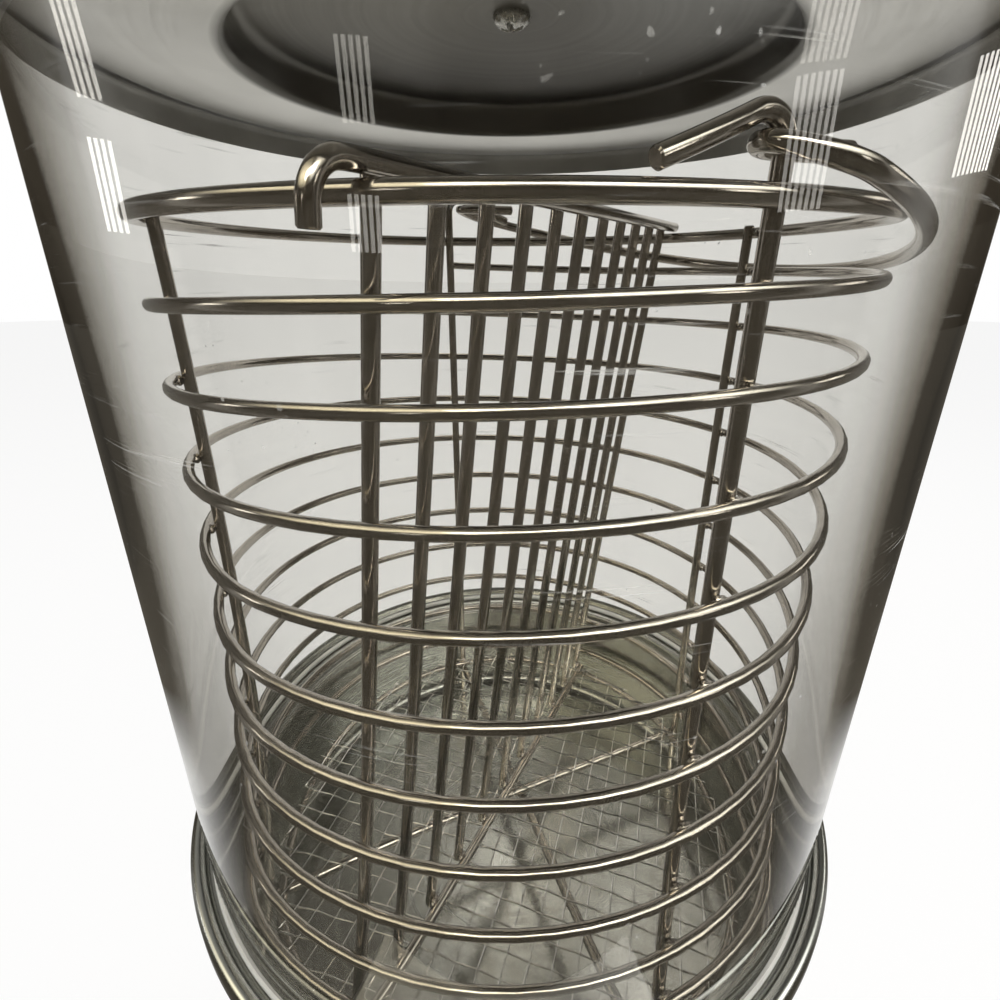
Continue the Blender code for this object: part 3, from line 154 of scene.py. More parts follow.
def rounded(points, reach, steps=6, closed=False):
    """A line whose corners are quadratic curves, starting and ending `reach` from each corner."""
    points = np.asarray(points, float)
    if closed:
        corner, before, after = points, np.roll(points, 1, 0), np.roll(points, -1, 0)
    else:
        corner, before, after = points[1:-1], points[:-2], points[2:]
    reach = np.broadcast_to(reach, len(corner))[:, None]
    back, ahead = before - corner, after - corner
    back_length = np.linalg.norm(back, axis=1)[:, None]
    ahead_length = np.linalg.norm(ahead, axis=1)[:, None]
    start = corner + back / back_length * np.minimum(reach, 0.49 * back_length)
    end = corner + ahead / ahead_length * np.minimum(reach, 0.49 * ahead_length)
    t = np.linspace(0.0, 1.0, steps)[None, :, None]
    curve = (1 - t) ** 2 * start[:, None] + 2 * t * (1 - t) * corner[:, None] + t ** 2 * end[:, None]
    curve = curve.reshape(-1, points.shape[1])
    return curve if closed else np.vstack([points[:1], curve, points[-1:]])


def eased(points, reach, kept):
    """A line in even steps, each point the mean of those within `reach` along it, but less and
    less so towards a length `kept` at both ends, where it stays as it is."""
    along = np.append(0.0, np.cumsum(np.linalg.norm(np.diff(points, axis=0), axis=1)))
    even = np.linspace(0.0, along[-1], 260)
    line = np.stack([np.interp(even, along, column) for column in points.T], 1)
    near = (np.abs(even[:, None] - even) <= reach).astype(float)
    mean = near @ line / near.sum(1)[:, None]
    share = np.clip((np.minimum(even, along[-1] - even) - kept) / reach, 0.0, 1.0)[:, None]
    return line + (mean - line) * share


def both_sides(line, thickness):
    """A sheet's outline: the line moved half the thickness to its left, then back along its right."""
    step = np.diff(line, axis=0)
    side = np.stack([-step[:, 1], step[:, 0]], 1) / np.linalg.norm(step, axis=1)[:, None]
    corner = np.vstack([side[:1], side[:-1] + side[1:], side[-1:]])
    corner /= np.linalg.norm(corner, axis=1)[:, None]
    square = np.vstack([side, side[-1:]])
    reach = thickness / 2 / np.maximum((corner * square).sum(1), 0.5)[:, None]
    return np.vstack([line + corner * reach, (line - corner * reach)[::-1]])


def patch(grid, wrap_rows=False, wrap_columns=True, caps=(False, False), along=None, around=None):
    """Quads over a grid of points, with its first and last row closed by one flat face if asked.
    Each quad joins two neighbours of a row with the two of the next. `along` and `around` give
    the UV map's coordinates of the rows and columns."""
    rows, columns = grid.shape[:2]
    row, column = np.meshgrid(np.arange(rows - (not wrap_rows)), np.arange(columns - (not wrap_columns)),
                              indexing="ij")
    next_row, next_column = (row + 1) % rows, (column + 1) % columns
    faces = np.stack([row * columns + column, next_row * columns + column,
                      next_row * columns + next_column, row * columns + next_column], -1).reshape(-1, 4)
    along = np.arange(rows + 1.0) if along is None else np.append(along, along[-1])
    around = np.arange(columns + 1.0) / columns if around is None else np.append(around, around[-1])
    uv = np.stack([np.stack([along[row], around[column]], -1), np.stack([along[row + 1], around[column]], -1),
                   np.stack([along[row + 1], around[column + 1]], -1),
                   np.stack([along[row], around[column + 1]], -1)], -2).reshape(-1, 2)
    faces = faces.tolist()
    last = rows * columns
    for closed, first in zip(caps, (0, last - columns)):
        if closed:
            faces.append(list(range(first, first + columns)))
            uv = np.vstack([uv, np.tile([along[0], 0.5], (columns, 1))])
    return grid.reshape(-1, 3), faces, uv


def joined(patches):
    """Several patches as one set of points, faces and UV coordinates."""
    start, points, faces, uvs = 0, [], [], []
    for some_points, some_faces, uv in patches:
        points.append(some_points)
        faces += [[start + index for index in face] for face in some_faces]
        uvs.append(uv)
        start += len(some_points)
    return np.vstack(points), faces, np.vstack(uvs)


def tube(points, radius, sides=16, up=(0.0, 0.0, 1.0), closed=False, worn=()):
    """Circles carried along a path, each square to it and levelled by its cross product with `up`.
    An open tube ends in a small chamfer and a flat face. Round each worn place the radius is less,
    by BAIL_WEAR exp(-(distance / BAIL_WEAR_REACH)^2)."""
    points = np.asarray(points, float)
    radii = np.full(len(points), radius)
    if closed:
        tangent = np.roll(points, -1, 0) - np.roll(points, 1, 0)
    else:
        chamfer = 0.2 * radius
        first = points[1] - points[0]
        last = points[-2] - points[-1]
        first *= chamfer / np.linalg.norm(first)
        last *= chamfer / np.linalg.norm(last)
        points = np.vstack([points[:1], points[:1] + first, points[1:-1], points[-1:] + last, points[-1:]])
        radii = np.full(len(points), radius)
        radii[[0, -1]] = 0.82 * radius
        tangent = np.gradient(points, axis=0)
    for place in worn:
        away = np.linalg.norm(points - place, axis=1)
        radii -= BAIL_WEAR * np.exp(-(away / BAIL_WEAR_REACH) ** 2)
    tangent /= np.linalg.norm(tangent, axis=1)[:, None]
    side = np.cross(tangent, up)
    side /= np.linalg.norm(side, axis=1)[:, None]
    over = np.cross(side, tangent)
    turn = np.arange(sides) / sides * ROUND
    grid = (points[:, None] + radii[:, None, None]
            * (np.cos(turn)[:, None] * side[:, None] + np.sin(turn)[:, None] * over[:, None]))
    along = np.append(0.0, np.cumsum(np.linalg.norm(np.diff(points, axis=0), axis=1)))
    return patch(grid, closed, True, (not closed, not closed), along)


def lathe(profile, centre=None, axis=None, steps=TURN_STEPS, closed=True, wave=None):
    """A profile of (radius, height) points turned about an axis through a centre.
    `wave` multiplies the radius by a function of the turning angle and height."""
    profile = np.asarray(profile, float)
    turn = np.arange(steps) / steps * ROUND
    radius, height = profile[:, :1], profile[:, 1:]
    if wave is not None:
        radius = radius * wave(turn[None, :], height)
    local = np.stack([radius * np.sin(turn), radius * np.cos(turn), height + 0 * turn], -1)
    if axis is not None:
        local = local @ np.array(Vector(axis).to_track_quat("Z", "Y").to_matrix()).T
    grid = local + (np.array([*AXIS, 0.0]) if centre is None else np.asarray(centre))
    return patch(grid, closed, True, (not closed, not closed))


def rectangle_rings(rings, steps=6):
    """Rounded rectangles in the X-Z plane, one per row of (half width, half height, corner, y)."""
    half_width, half_height, corner, depth = (column[:, None] for column in np.asarray(rings, float).T)
    quarter = np.repeat(np.arange(4), steps + 1)
    turn = (quarter + np.tile(np.linspace(0.0, 1.0, steps + 1), 4)) * math.pi / 2
    middle = (quarter + 0.5) * math.pi / 2
    x = np.sign(np.cos(middle)) * (half_width - corner) + corner * np.cos(turn)
    z = np.sign(np.sin(middle)) * (half_height - corner) + corner * np.sin(turn)
    return np.stack([x, depth + 0 * x, z], -1)


def bead(centres, radii, outward):
    """Small ellipsoids: each centre plus three radii times the sine and cosine of two angles,
    the first radius along `outward` and the last upright."""
    rise = np.linspace(-math.pi / 2, math.pi / 2, 7)[1:-1, None]
    turn = np.arange(10) / 10 * ROUND
    outward = np.asarray(outward, float)
    across = np.cross(outward, (0.0, 0.0, 1.0))
    patches = []
    for centre, out, side in zip(centres, outward, across):
        grid = (centre + radii[0] * (np.cos(rise) * np.cos(turn))[..., None] * out
                + radii[1] * (np.cos(rise) * np.sin(turn))[..., None] * side
                + radii[2] * (np.sin(rise) + 0 * turn)[..., None] * np.array([0.0, 0.0, 1.0]))
        patches.append(patch(grid, False, True, (True, True)))
    return joined(patches)


def piece(name, body, finish, shape, replaces=(), sharp=35.0):
    """Make points, faces and UV coordinates an object that rides on a body.
    Doubled points are merged, loose ones removed, and the faces turned outwards."""
    points, faces, uv = shape
    mesh = bpy.data.meshes.new(name)
    mesh.from_pydata(points.tolist(), [], faces)
    layer = mesh.uv_layers.new(name="run")
    layer.data.foreach_set("uv", uv.ravel())
    work = bmesh.new()
    work.from_mesh(mesh)
    bmesh.ops.remove_doubles(work, verts=work.verts, dist=0.000002)
    bmesh.ops.delete(work, geom=[v for v in work.verts if not v.link_faces], context="VERTS")
    bmesh.ops.recalc_face_normals(work, faces=work.faces)
    work.to_mesh(mesh)
    work.free()
    mesh.shade_smooth()
    mesh.set_sharp_from_angle(angle=math.radians(sharp))
    mesh.materials.append(finish)
    item = bpy.data.objects.new(name, mesh)
    bpy.context.scene.collection.objects.link(item)
    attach(item, body)
    if replaces:
        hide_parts(*replaces)
    return item


# Finishes

class Value:
    """A value in a shader, on which arithmetic adds Math nodes."""

    def __init__(self, finish, socket):
        self.finish = finish
        self.socket = socket

    def result(self, operation, first, second=0.0):
        """The socket of a Math node on one or two values."""
        return self.finish.node("ShaderNodeMath", {"operation": operation}, {0: first, 1: second})

    def __add__(self, other):
        return self.result("ADD", self, other)

    def __sub__(self, other):
        return self.result("SUBTRACT", self, other)

    def __rsub__(self, other):
        return self.result("SUBTRACT", other, self)

    def __mul__(self, other):
        return self.result("MULTIPLY", self, other)

    def __truediv__(self, other):
        return self.result("DIVIDE", self, other)

    __radd__ = __add__
    __rmul__ = __mul__


class Finish:
    """A material, or the world, with one method that adds any node."""

    def __init__(self, owner, values=None):
        owner.use_nodes = True
        self.owner = owner
        self.tree = owner.node_tree
        self.shader = self.tree.nodes.get("Principled BSDF")
        self.set(values or {})

    def set(self, values):
        """Feed the surface shader's sockets."""
        for name, value in values.items():
            self.feed(self.shader.inputs[name], value)

    def feed(self, socket, value):
        """Link a value to a socket, or set it there."""
        if isinstance(value, Value):
            self.tree.links.new(value.socket, socket)
        else:
            socket.default_value = value

    def node(self, kind, settings=None, values=None, output=0):
        """Add a node of a type, set its settings and a ramp's stops first, then its sockets."""
        node = self.tree.nodes.new(kind)
        for key, value in (settings or {}).items():
            if key == "stops":
                for i, (place, colour) in enumerate(value):
                    stops = node.color_ramp.elements
                    stop = stops[i] if i < len(stops) else stops.new(place)
                    stop.position = place
                    stop.color = (*colour, 1.0)
            else:
                setattr(node, key, value)
        for key, value in (values or {}).items():
            if isinstance(key, int):
                socket = node.inputs[key]
            else:
                socket = next(s for s in node.inputs if s.name == key and s.enabled)
            self.feed(socket, value)
        found = node.outputs[output] if isinstance(output, int) else next(
            s for s in node.outputs if s.name == output and s.enabled)
        return Value(self, found)

    def place(self, scale=(1.0, 1.0, 1.0), centre=(0.0, 0.0, 0.0)):
        """Object coordinates, centred on a point and scaled."""
        at = self.node("ShaderNodeTexCoord", output="Object")
        at = self.node("ShaderNodeMapping", {"vector_type": "POINT"},
                       {"Vector": at, "Location": tuple(-c for c in centre)})
        return self.node("ShaderNodeVectorMath", {"operation": "MULTIPLY"}, {0: at, 1: scale})

    def run(self, scale):
        """The piece's own UV map: metres along a wire and turns round it, scaled."""
        at = self.node("ShaderNodeUVMap", {"uv_map": "run"})
        return self.node("ShaderNodeVectorMath", {"operation": "MULTIPLY"}, {0: at, 1: scale})

    def noise(self, at, scale, detail=3.0, roughness=0.55):
        """Soft noise from 0 to 1."""
        return self.node("ShaderNodeTexNoise", None,
                         {"Vector": at, "Scale": scale, "Detail": detail, "Roughness": roughness})

    def spread(self, value, low, high, bottom=0.0, top=1.0):
        """A value stretched so that low and high become bottom and top, and held there beyond."""
        return self.node("ShaderNodeMapRange", {"clamp": True}, {
            "Value": value, "From Min": low, "From Max": high, "To Min": bottom, "To Max": top})

    def mix(self, share, first, second):
        """Two colours mixed by a share."""
        return self.node("ShaderNodeMix", {"data_type": "RGBA"}, {
            "Factor": share, "A": first, "B": second}, "Result")

    def bump(self, height, strength, distance):
        """A normal from a height."""
        return self.node("ShaderNodeBump", None, {
            "Height": height, "Strength": strength, "Distance": distance}, "Normal")


def shade(colour, factor):
    """A colour made lighter or darker, with full alpha."""
    return tuple(min(c * factor, 1.0) for c in colour) + (1.0,)


def material(name, values=None):
    """A new material's Finish."""
    return Finish(bpy.data.materials.new(name), values)


def wire_finish(name, colour, roughness=0.16):
    """Bright drawn wire: faint streaks along its run, and a few dull patches."""
    finish = material(name, {"Metallic": 1.0})
    streak = finish.noise(finish.run((40.0, 9.0, 1.0)), 1.0)
    patchy = finish.noise(finish.place(), 45.0, 4.0)
    fine = finish.noise(finish.run((25.0, 60.0, 1.0)), 1.0, 2.0)
    finish.set({"Base Color": finish.mix(finish.spread(patchy, 0.35, 0.7), shade(colour, 1.08), shade(colour, 0.86)),
                "Roughness": finish.spread(streak, 0.3, 0.7, roughness, roughness + 0.07),
                "Normal": finish.bump(fine, 0.12, 0.00006)})
    return finish.owner


def plain_metal(name, colour, roughness, grain=350.0):
    """Cast, plated or blackened metal: mottled colour with a fine grain."""
    finish = material(name, {"Metallic": 1.0})
    mottle = finish.noise(finish.place(), 60.0, 4.0)
    fine = finish.noise(finish.place(), grain * 4, 2.0)
    finish.set({"Base Color": finish.mix(finish.spread(mottle, 0.3, 0.7), shade(colour, 1.1), shade(colour, 0.82)),
                "Roughness": finish.spread(fine, 0.2, 0.8, roughness - 0.06, roughness + 0.08),
                "Normal": finish.bump(fine, 0.15, 0.00008)})
    return finish.owner


def spun_steel(name, colour, roughness, dark_inside=None, metallic=1.0):
    """Stainless sheet polished on a lathe: rings about the machine's axis, with soft smudges.
    The middle can be darker inside a radius."""
    finish = material(name, {"Metallic": metallic})
    flat = finish.place((1.0, 1.0, 0.0), (*AXIS, 0.0))
    radius = finish.node("ShaderNodeVectorMath", {"operation": "LENGTH"}, {0: flat}, "Value")
    across = finish.node("ShaderNodeSeparateXYZ", None, {0: finish.place()}, "Z")
    at = finish.node("ShaderNodeCombineXYZ", None, {0: radius * 900.0, 1: across * 900.0})
    rings = finish.noise(at, 1.0, 4.0, 0.7)
    smudge = finish.noise(finish.place(), 22.0, 5.0, 0.6)
    tone = finish.mix(finish.spread(smudge, 0.35, 0.75), shade(colour, 1.06), shade(colour, 0.88))
    if dark_inside is not None:
        edge, dark = dark_inside
        tone = finish.mix(finish.spread(radius, edge - 0.001, edge + 0.001), (*dark, 1.0), tone)
    finish.set({"Base Color": tone,
                "Roughness": finish.spread(rings + smudge * 0.6, 0.5, 1.1, roughness, roughness + 0.14),
                "Normal": finish.bump(rings, 0.1, 0.00004)})
    return finish.owner


def brushed_steel(name, colour, roughness, scale):
    """Brushed stainless sheet: long fine lines, stretched along one direction, with soft wear. Its
    fine grooves scatter a share of the light, so that it isn't fully metallic."""
    finish = material(name, {"Metallic": BRUSHED_METALLIC})
    lines = finish.noise(finish.place(scale), 1.0, 5.0, 0.75)
    wear = finish.noise(finish.place(), 18.0, 4.0)
    light, dark = shade(colour, 1.08), shade(colour, 0.86)
    finish.set({"Base Color": finish.mix(finish.spread(lines * 0.7 + wear * 0.3, 0.35, 0.65), light, dark),
                "Roughness": finish.spread(lines + wear * 0.5, 0.5, 1.0, roughness, roughness + 0.14),
                "Normal": finish.bump(lines, 0.16, 0.00006)})
    return finish.owner


def moulded(name, colour, roughness, grain=1400.0, coat=0.0, relief=0.12):
    """Moulded plastic, rubber or ceramic: a fine grain, and slightly duller where it is handled."""
    finish = material(name, {"Coat Weight": coat, "Coat Roughness": 0.08})
    fine = finish.noise(finish.place(), grain, 3.0)
    touched = finish.noise(finish.place(), 55.0, 4.0)
    finish.set({"Base Color": finish.mix(finish.spread(touched, 0.3, 0.7), shade(colour, 1.12), shade(colour, 0.88)),
                "Roughness": finish.spread(touched, 0.3, 0.7, roughness - 0.05, roughness + 0.07),
                "Normal": finish.bump(fine, relief, 0.00005)})
    return finish.owner


def clear_glass(name, tint):
    """Clear glass with wipe marks, fine scratches round it and dried drops. Where it is seen edge on,
    its colour holds a painted dark reflection of the room, browner on the right and stronger higher
    up, in part standing for the longer path through the glass. It lets lamps through to what it covers."""
    finish = material(name, {"Transmission Weight": 1.0, "IOR": 1.47, "Metallic": 0.0})
    wipe = finish.noise(finish.place((1.0, 1.0, 0.3)), 30.0, 4.0)
    facing = finish.node("ShaderNodeLayerWeight", None, {"Blend": 0.5}, "Facing")
    height = finish.node("ShaderNodeSeparateXYZ", None, {0: finish.place()}, "Z")
    across = finish.node("ShaderNodeSeparateXYZ", None, {0: finish.place()}, "X")
    # Painted dark reflection of the room at the glass's edges, browner on the right and stronger higher up; in part
    # it stands for the longer path through glass seen edge on.
    painted_edge_reflection = finish.mix(finish.spread(across, -0.05, 0.05), (*GLASS_PAINTED_REFLECTION_LEFT, 1.0), (*GLASS_PAINTED_REFLECTION_RIGHT, 1.0))
    thick = finish.spread(facing, *GLASS_PAINTED_EDGE_FACING) * finish.spread(height, *GLASS_PAINTED_REFLECTION_HEIGHT, 0.35, 1.0)
    clear_tint = finish.mix(finish.spread(wipe, 0.5, 0.75), (*tint, 1.0), shade(tint, 0.96))
    finish.set({"Base Color": finish.mix(thick, clear_tint, painted_edge_reflection),
                "Roughness": finish.spread(wipe, 0.45, 0.8, 0.0, 0.03)})
    clear = finish.node("ShaderNodeBsdfTransparent", None, {"Color": (*tint, 1.0)})
    shadow = finish.node("ShaderNodeLightPath", output="Is Shadow Ray")
    surface = Value(finish, finish.shader.outputs["BSDF"])
    lines = finish.spread(finish.noise(finish.place((28.0, 28.0, 1300.0)), 1.0, 2.0), 0.66, 0.76)
    rubbed = finish.spread(finish.noise(finish.place(), 26.0, 3.0), 0.48, 0.62)
    drops = finish.spread(finish.noise(finish.place(), 520.0, 1.0), 0.74, 0.80)
    splashed = finish.spread(finish.noise(finish.place((1.0, 1.0, 1.4)), 17.0, 2.0), 0.55, 0.68)
    chalk = finish.node("ShaderNodeBsdfDiffuse", None, {"Color": (0.9, 0.9, 0.88, 1.0)})
    marks = lines * rubbed * SCRATCH_SHARE + drops * splashed * DROP_SHARE
    surface = finish.node("ShaderNodeMixShader", None, {0: marks, 1: surface, 2: chalk})
    both = finish.node("ShaderNodeMixShader", None, {0: shadow, 1: surface, 2: clear})
    finish.feed(finish.tree.nodes["Material Output"].inputs["Surface"], both)
    return finish.owner


def lens_finish(name, colour):
    """A moulded lamp lens, coloured through, with a faint swirl."""
    finish = material(name, {"Coat Weight": 0.6, "Coat Roughness": 0.04, "Transmission Weight": 0.25})
    swirl = finish.noise(finish.place(), 260.0, 3.0)
    finish.set({"Base Color": finish.mix(swirl, shade(colour, 1.15), shade(colour, 0.8)),
                "Roughness": finish.spread(swirl, 0.3, 0.7, 0.1, 0.2)})
    return finish.owner


# The glass's painted edge reflection: how edge on it starts and is full, its left and right colours, and the heights
# over which it grows.
GLASS_PAINTED_EDGE_FACING = (0.52, 0.82)
GLASS_PAINTED_REFLECTION_LEFT = (0.42, 0.40, 0.355)
GLASS_PAINTED_REFLECTION_RIGHT = (0.32, 0.29, 0.24)
GLASS_PAINTED_REFLECTION_HEIGHT = (0.175, 0.205)
SCRATCH_SHARE = 0.35
DROP_SHARE = 0.6
WIRE_COLOUR = (0.53, 0.495, 0.45)
STEEL_COLOUR = (0.60, 0.59, 0.565)
WIRE = wire_finish("bright_wire", WIRE_COLOUR, 0.09)
MESH = wire_finish("floor_wire", (0.95, 0.945, 0.93), 0.15)
WELD = plain_metal("weld_metal", (0.45, 0.42, 0.385), 0.25)
PAN = spun_steel("well_steel", (0.50, 0.505, 0.48), 0.16)
LID = spun_steel("lid_steel", (0.92, 0.915, 0.90), 0.28, (0.0645, (0.13, 0.125, 0.115)))
LID_EDGE = plain_metal("lid_edge_steel", (0.92, 0.915, 0.90), 0.6)
BRUSHED_METALLIC = 0.74
LID_TOP = spun_steel("lid_top_steel", STEEL_COLOUR, 0.2, metallic=BRUSHED_METALLIC)
DRUM = brushed_steel("housing_steel", STEEL_COLOUR, 0.24, (8.0, 8.0, 1500.0))
BOX = brushed_steel("box_steel", STEEL_COLOUR, 0.24, (10.0, 10.0, 1500.0))
FASCIA = brushed_steel("fascia_steel", (0.64, 0.635, 0.615), 0.26, (12.0, 12.0, 1700.0))
DIAL = brushed_steel("dial_metal", (0.74, 0.74, 0.73), 0.3, (1500.0, 12.0, 12.0))
ZINC = plain_metal("zinc_plate", (0.62, 0.62, 0.6), 0.34)
BRASS = plain_metal("brass", (0.72, 0.55, 0.27), 0.3)
HEATER = plain_metal("heater_steel", (0.25, 0.235, 0.22), 0.45)
SCREW = plain_metal("screw_steel", (0.6, 0.595, 0.575), 0.26)
PHENOLIC = moulded("knob_plastic", (0.022, 0.022, 0.023), 0.3, 1100.0, 0.15)
SWITCH = moulded("switch_plastic", (0.018, 0.018, 0.019), 0.36)
RUBBER = moulded("foot_rubber", (0.026, 0.026, 0.027), 0.75, 700.0, 0.0, 0.3)
SEAL = moulded("gasket_silicone", (0.72, 0.72, 0.69), 0.5, 900.0)
ROCKER = moulded("rocker_plastic", (0.60, 0.030, 0.022), 0.22, 1200.0, 0.3, 0.05)
WHITE_INK = moulded("white_marking", (0.86, 0.86, 0.84), 0.5, 1500.0)
BLACK_INK = moulded("black_marking", (0.02, 0.02, 0.02), 0.5, 1500.0)
CERAMIC = moulded("ceramic", (0.82, 0.80, 0.75), 0.3, 500.0, 0.2)
AMBER = lens_finish("amber_lens", (0.86, 0.30, 0.04))
GLASS = clear_glass("clear_glass", (0.885, 0.88, 0.855))


# The glass, its gasket and the well

def build_glass():
    """The glass tube and the gasket under it: turned profiles with fire-polished edges."""
    outer, inner = GLASS_RADIUS, GLASS_RADIUS - GLASS_WALL
    low, high = GLASS_LOW[2], GLASS_HIGH[2]
    profile = rounded([(inner, low), (outer, low), (outer, high), (inner, high)], 0.0012, 7, True)
    piece("glass_tube", "glass", GLASS, lathe(profile, steps=240), ["glass_cylinder"], 60.0)

    low, high = span("glass_gasket")
    proud = (high - low)[0] / 2
    inside = inner - 0.0008
    profile = rounded([(inside, low[2]), (proud, low[2]), (proud, high[2]), (inside, high[2])], 0.0005, 5, True)
    piece("gasket_ring", "base", SEAL, lathe(profile), ["glass_gasket"], 60.0)


def build_well():
    """The deep drawn pan: a sheet's outline, from its floor over the ledge to the rolled rim, turned."""
    half = SHEET / 2
    floor = WELL_UNDERSIDE + half
    wall = 0.0895 + half
    flange = FLANGE_TOP - half
    ledge = flange - 0.0025
    rim = GLASS_RADIUS + 0.0012
    roll = 0.0015
    turn = np.linspace(-math.pi / 2, 0, 7)
    up = np.stack([rim + roll * np.cos(turn), flange + roll + roll * np.sin(turn)], 1)
    turn = np.linspace(math.pi, 0, 15)[1:]
    over = np.stack([rim + 2 * roll + roll * np.cos(turn), flange + roll + roll * np.sin(turn)], 1)
    inside = rounded([(0.0006, floor + 0.0006), (0.028, floor), (0.060, floor), (wall, floor), (wall, ledge),
                      (wall + 0.003, ledge), (wall + 0.003, flange), (rim, flange)],
                     [0.012, 0.012, 0.006, 0.001, 0.0008, 0.0008], 9)
    line = np.vstack([inside, up, over, [(rim + 3 * roll, flange + roll - 0.0032)]])
    keep = np.append(True, np.linalg.norm(np.diff(line, axis=0), axis=1) > 0.00001)
    outline = both_sides(line[keep], SHEET)
    piece("well", "base", PAN, lathe(outline, steps=240, closed=False), ["well_pan"], 50.0)


def build_lid():
    """The pressed lid: a domed middle, a step, a flat ring and a rolled skirt, turned as one sheet."""
    half = SHEET / 2
    underside = GLASS_HIGH[2] + GAP
    ring = underside + half
    edge = 0.0625
    crown = ring + 0.008
    outer = (LID_HIGH - LID_LOW)[0] / 2 - half
    middle = np.linspace(0.0024, edge - 0.008, 14)
    dome = np.stack([middle, crown + 0.004 * (1 - (middle / (edge - 0.006)) ** 2)], 1)
    rest = rounded([dome[-1], (edge - 0.0015, crown + 0.0002), (edge + 0.0005, ring), (outer, ring),
                    (outer, ring - 0.007)], [0.0028, 0.0015, 0.003], 7)
    line = np.vstack([dome, rest[1:]])
    outline = both_sides(line, SHEET)
    shape = piece("lid_pressing", "lid", LID_TOP, lathe(outline, steps=200), ["lid_shell"], 40.0)
    shape.data.materials.append(LID)
    shape.data.materials.append(LID_EDGE)
    normals = np.zeros(len(shape.data.polygons) * 3, np.float32)
    shape.data.polygons.foreach_get("normal", normals)
    centres = np.zeros_like(normals)
    shape.data.polygons.foreach_get("center", centres)
    normals, centres = normals.reshape(-1, 3), centres.reshape(-1, 3) - np.array([*AXIS, underside])
    facing_in = np.sum(normals[:, :2] * centres[:, :2], axis=1) < 0.0
    finishes = np.where(normals[:, 2] < 0.0, 1, 0)
    finishes[facing_in & (centres[:, 2] < 0.0)] = 2
    shape.data.polygons.foreach_set("material_index", finishes.astype(np.int32))

    low, high = KNOB_LOW[2], KNOB_HIGH[2]
    radius = (KNOB_HIGH - KNOB_LOW)[0] / 2
    waist = radius * 0.58
    cap = high - 0.014
    profile = rounded([(0.0024, low), (waist + 0.003, low), (waist, low + 0.003), (waist, cap - 0.003),
                       (radius, cap), (radius, high - 0.001), (radius * 0.55, high), (0.0006, high - 0.0006)],
                      [0.0006, 0.002, 0.003, 0.002, 0.003, 0.004], 7)

    def grips(turn, height):
        """Ten shallow finger grooves round the cap, fading in above the waist."""
        fade = np.clip((height - cap) / 0.004, 0, 1) * np.clip((high - height) / 0.003, 0, 1)
        return 1 - 0.035 * fade * (0.5 - 0.5 * np.cos(10 * turn)) ** 2

    piece("lid_handle", "lid", PHENOLIC, lathe(profile, closed=False, steps=160, wave=grips),
          ["lid_knob"], 50.0)


# The basket

def coil_height(angle):
    """Height of the coil, which falls one pitch a turn and leans. Its front stands higher by
    x exp(1 - x), x being the turns below the first front."""
    below = np.maximum(angle / ROUND - COIL_RISE_START, 0.0)
    rise = COIL_RISE * below * np.exp(1 - below) * (1 - np.cos(angle)) / 2
    return RING_HEIGHT - COIL_DROP - COIL_PITCH * angle / ROUND - COIL_LEAN * np.cos(angle) + rise


def coil_radius(height):
    """Radius of the coil, which narrows towards the bottom."""
    return BASKET_RADIUS - BASKET_TAPER * (RING_HEIGHT - height) / BASKET_HEIGHT


def wall_radius(height):
    """Radius of the uprights at a height."""
    share = (RING_HEIGHT + UPRIGHT_TOP - height) / (RING_HEIGHT + UPRIGHT_TOP - UPRIGHT_FOOT)
    return UPRIGHT_RADIUS - BASKET_TAPER * share


def eye_line(side):
    """The line of an upright with an eye: straight up, over an arc along the wall, and down a slope."""
    rise, slope = EYE_RISE[side], EYE_SLOPE[side]
    middle = RING_HEIGHT + rise - EYE_RADIUS
    turn = math.pi - np.linspace(0, 1, 25) * (math.pi / 2 + slope)
    along = EYE_RADIUS + EYE_RADIUS * np.cos(turn)
    height = middle + EYE_RADIUS * np.sin(turn)
    drop = height[-1] - (RING_HEIGHT + TOP_WIRE + GAP + UPRIGHT_WIRE) - EYE_TAIL_RISE[side]
    share = np.linspace(0, 1, 7)[1:]
    along = np.append(along, along[-1] + drop * share / math.tan(slope))
    height = np.append(height, height[-1] - drop * share)
    outward = np.append(np.zeros(25), share)
    radius = UPRIGHT_RADIUS + (BASKET_RADIUS - UPRIGHT_RADIUS) * outward
    angle = UPRIGHT_ANGLES[side]
    top = polar(radius, angle + along / UPRIGHT_RADIUS, height)
    foot = polar(np.linspace(UPRIGHT_FOOT_RADIUS, UPRIGHT_RADIUS, 12)[:-1], angle,
                 np.linspace(UPRIGHT_FOOT, middle, 12)[:-1])
    return np.vstack([foot, top])


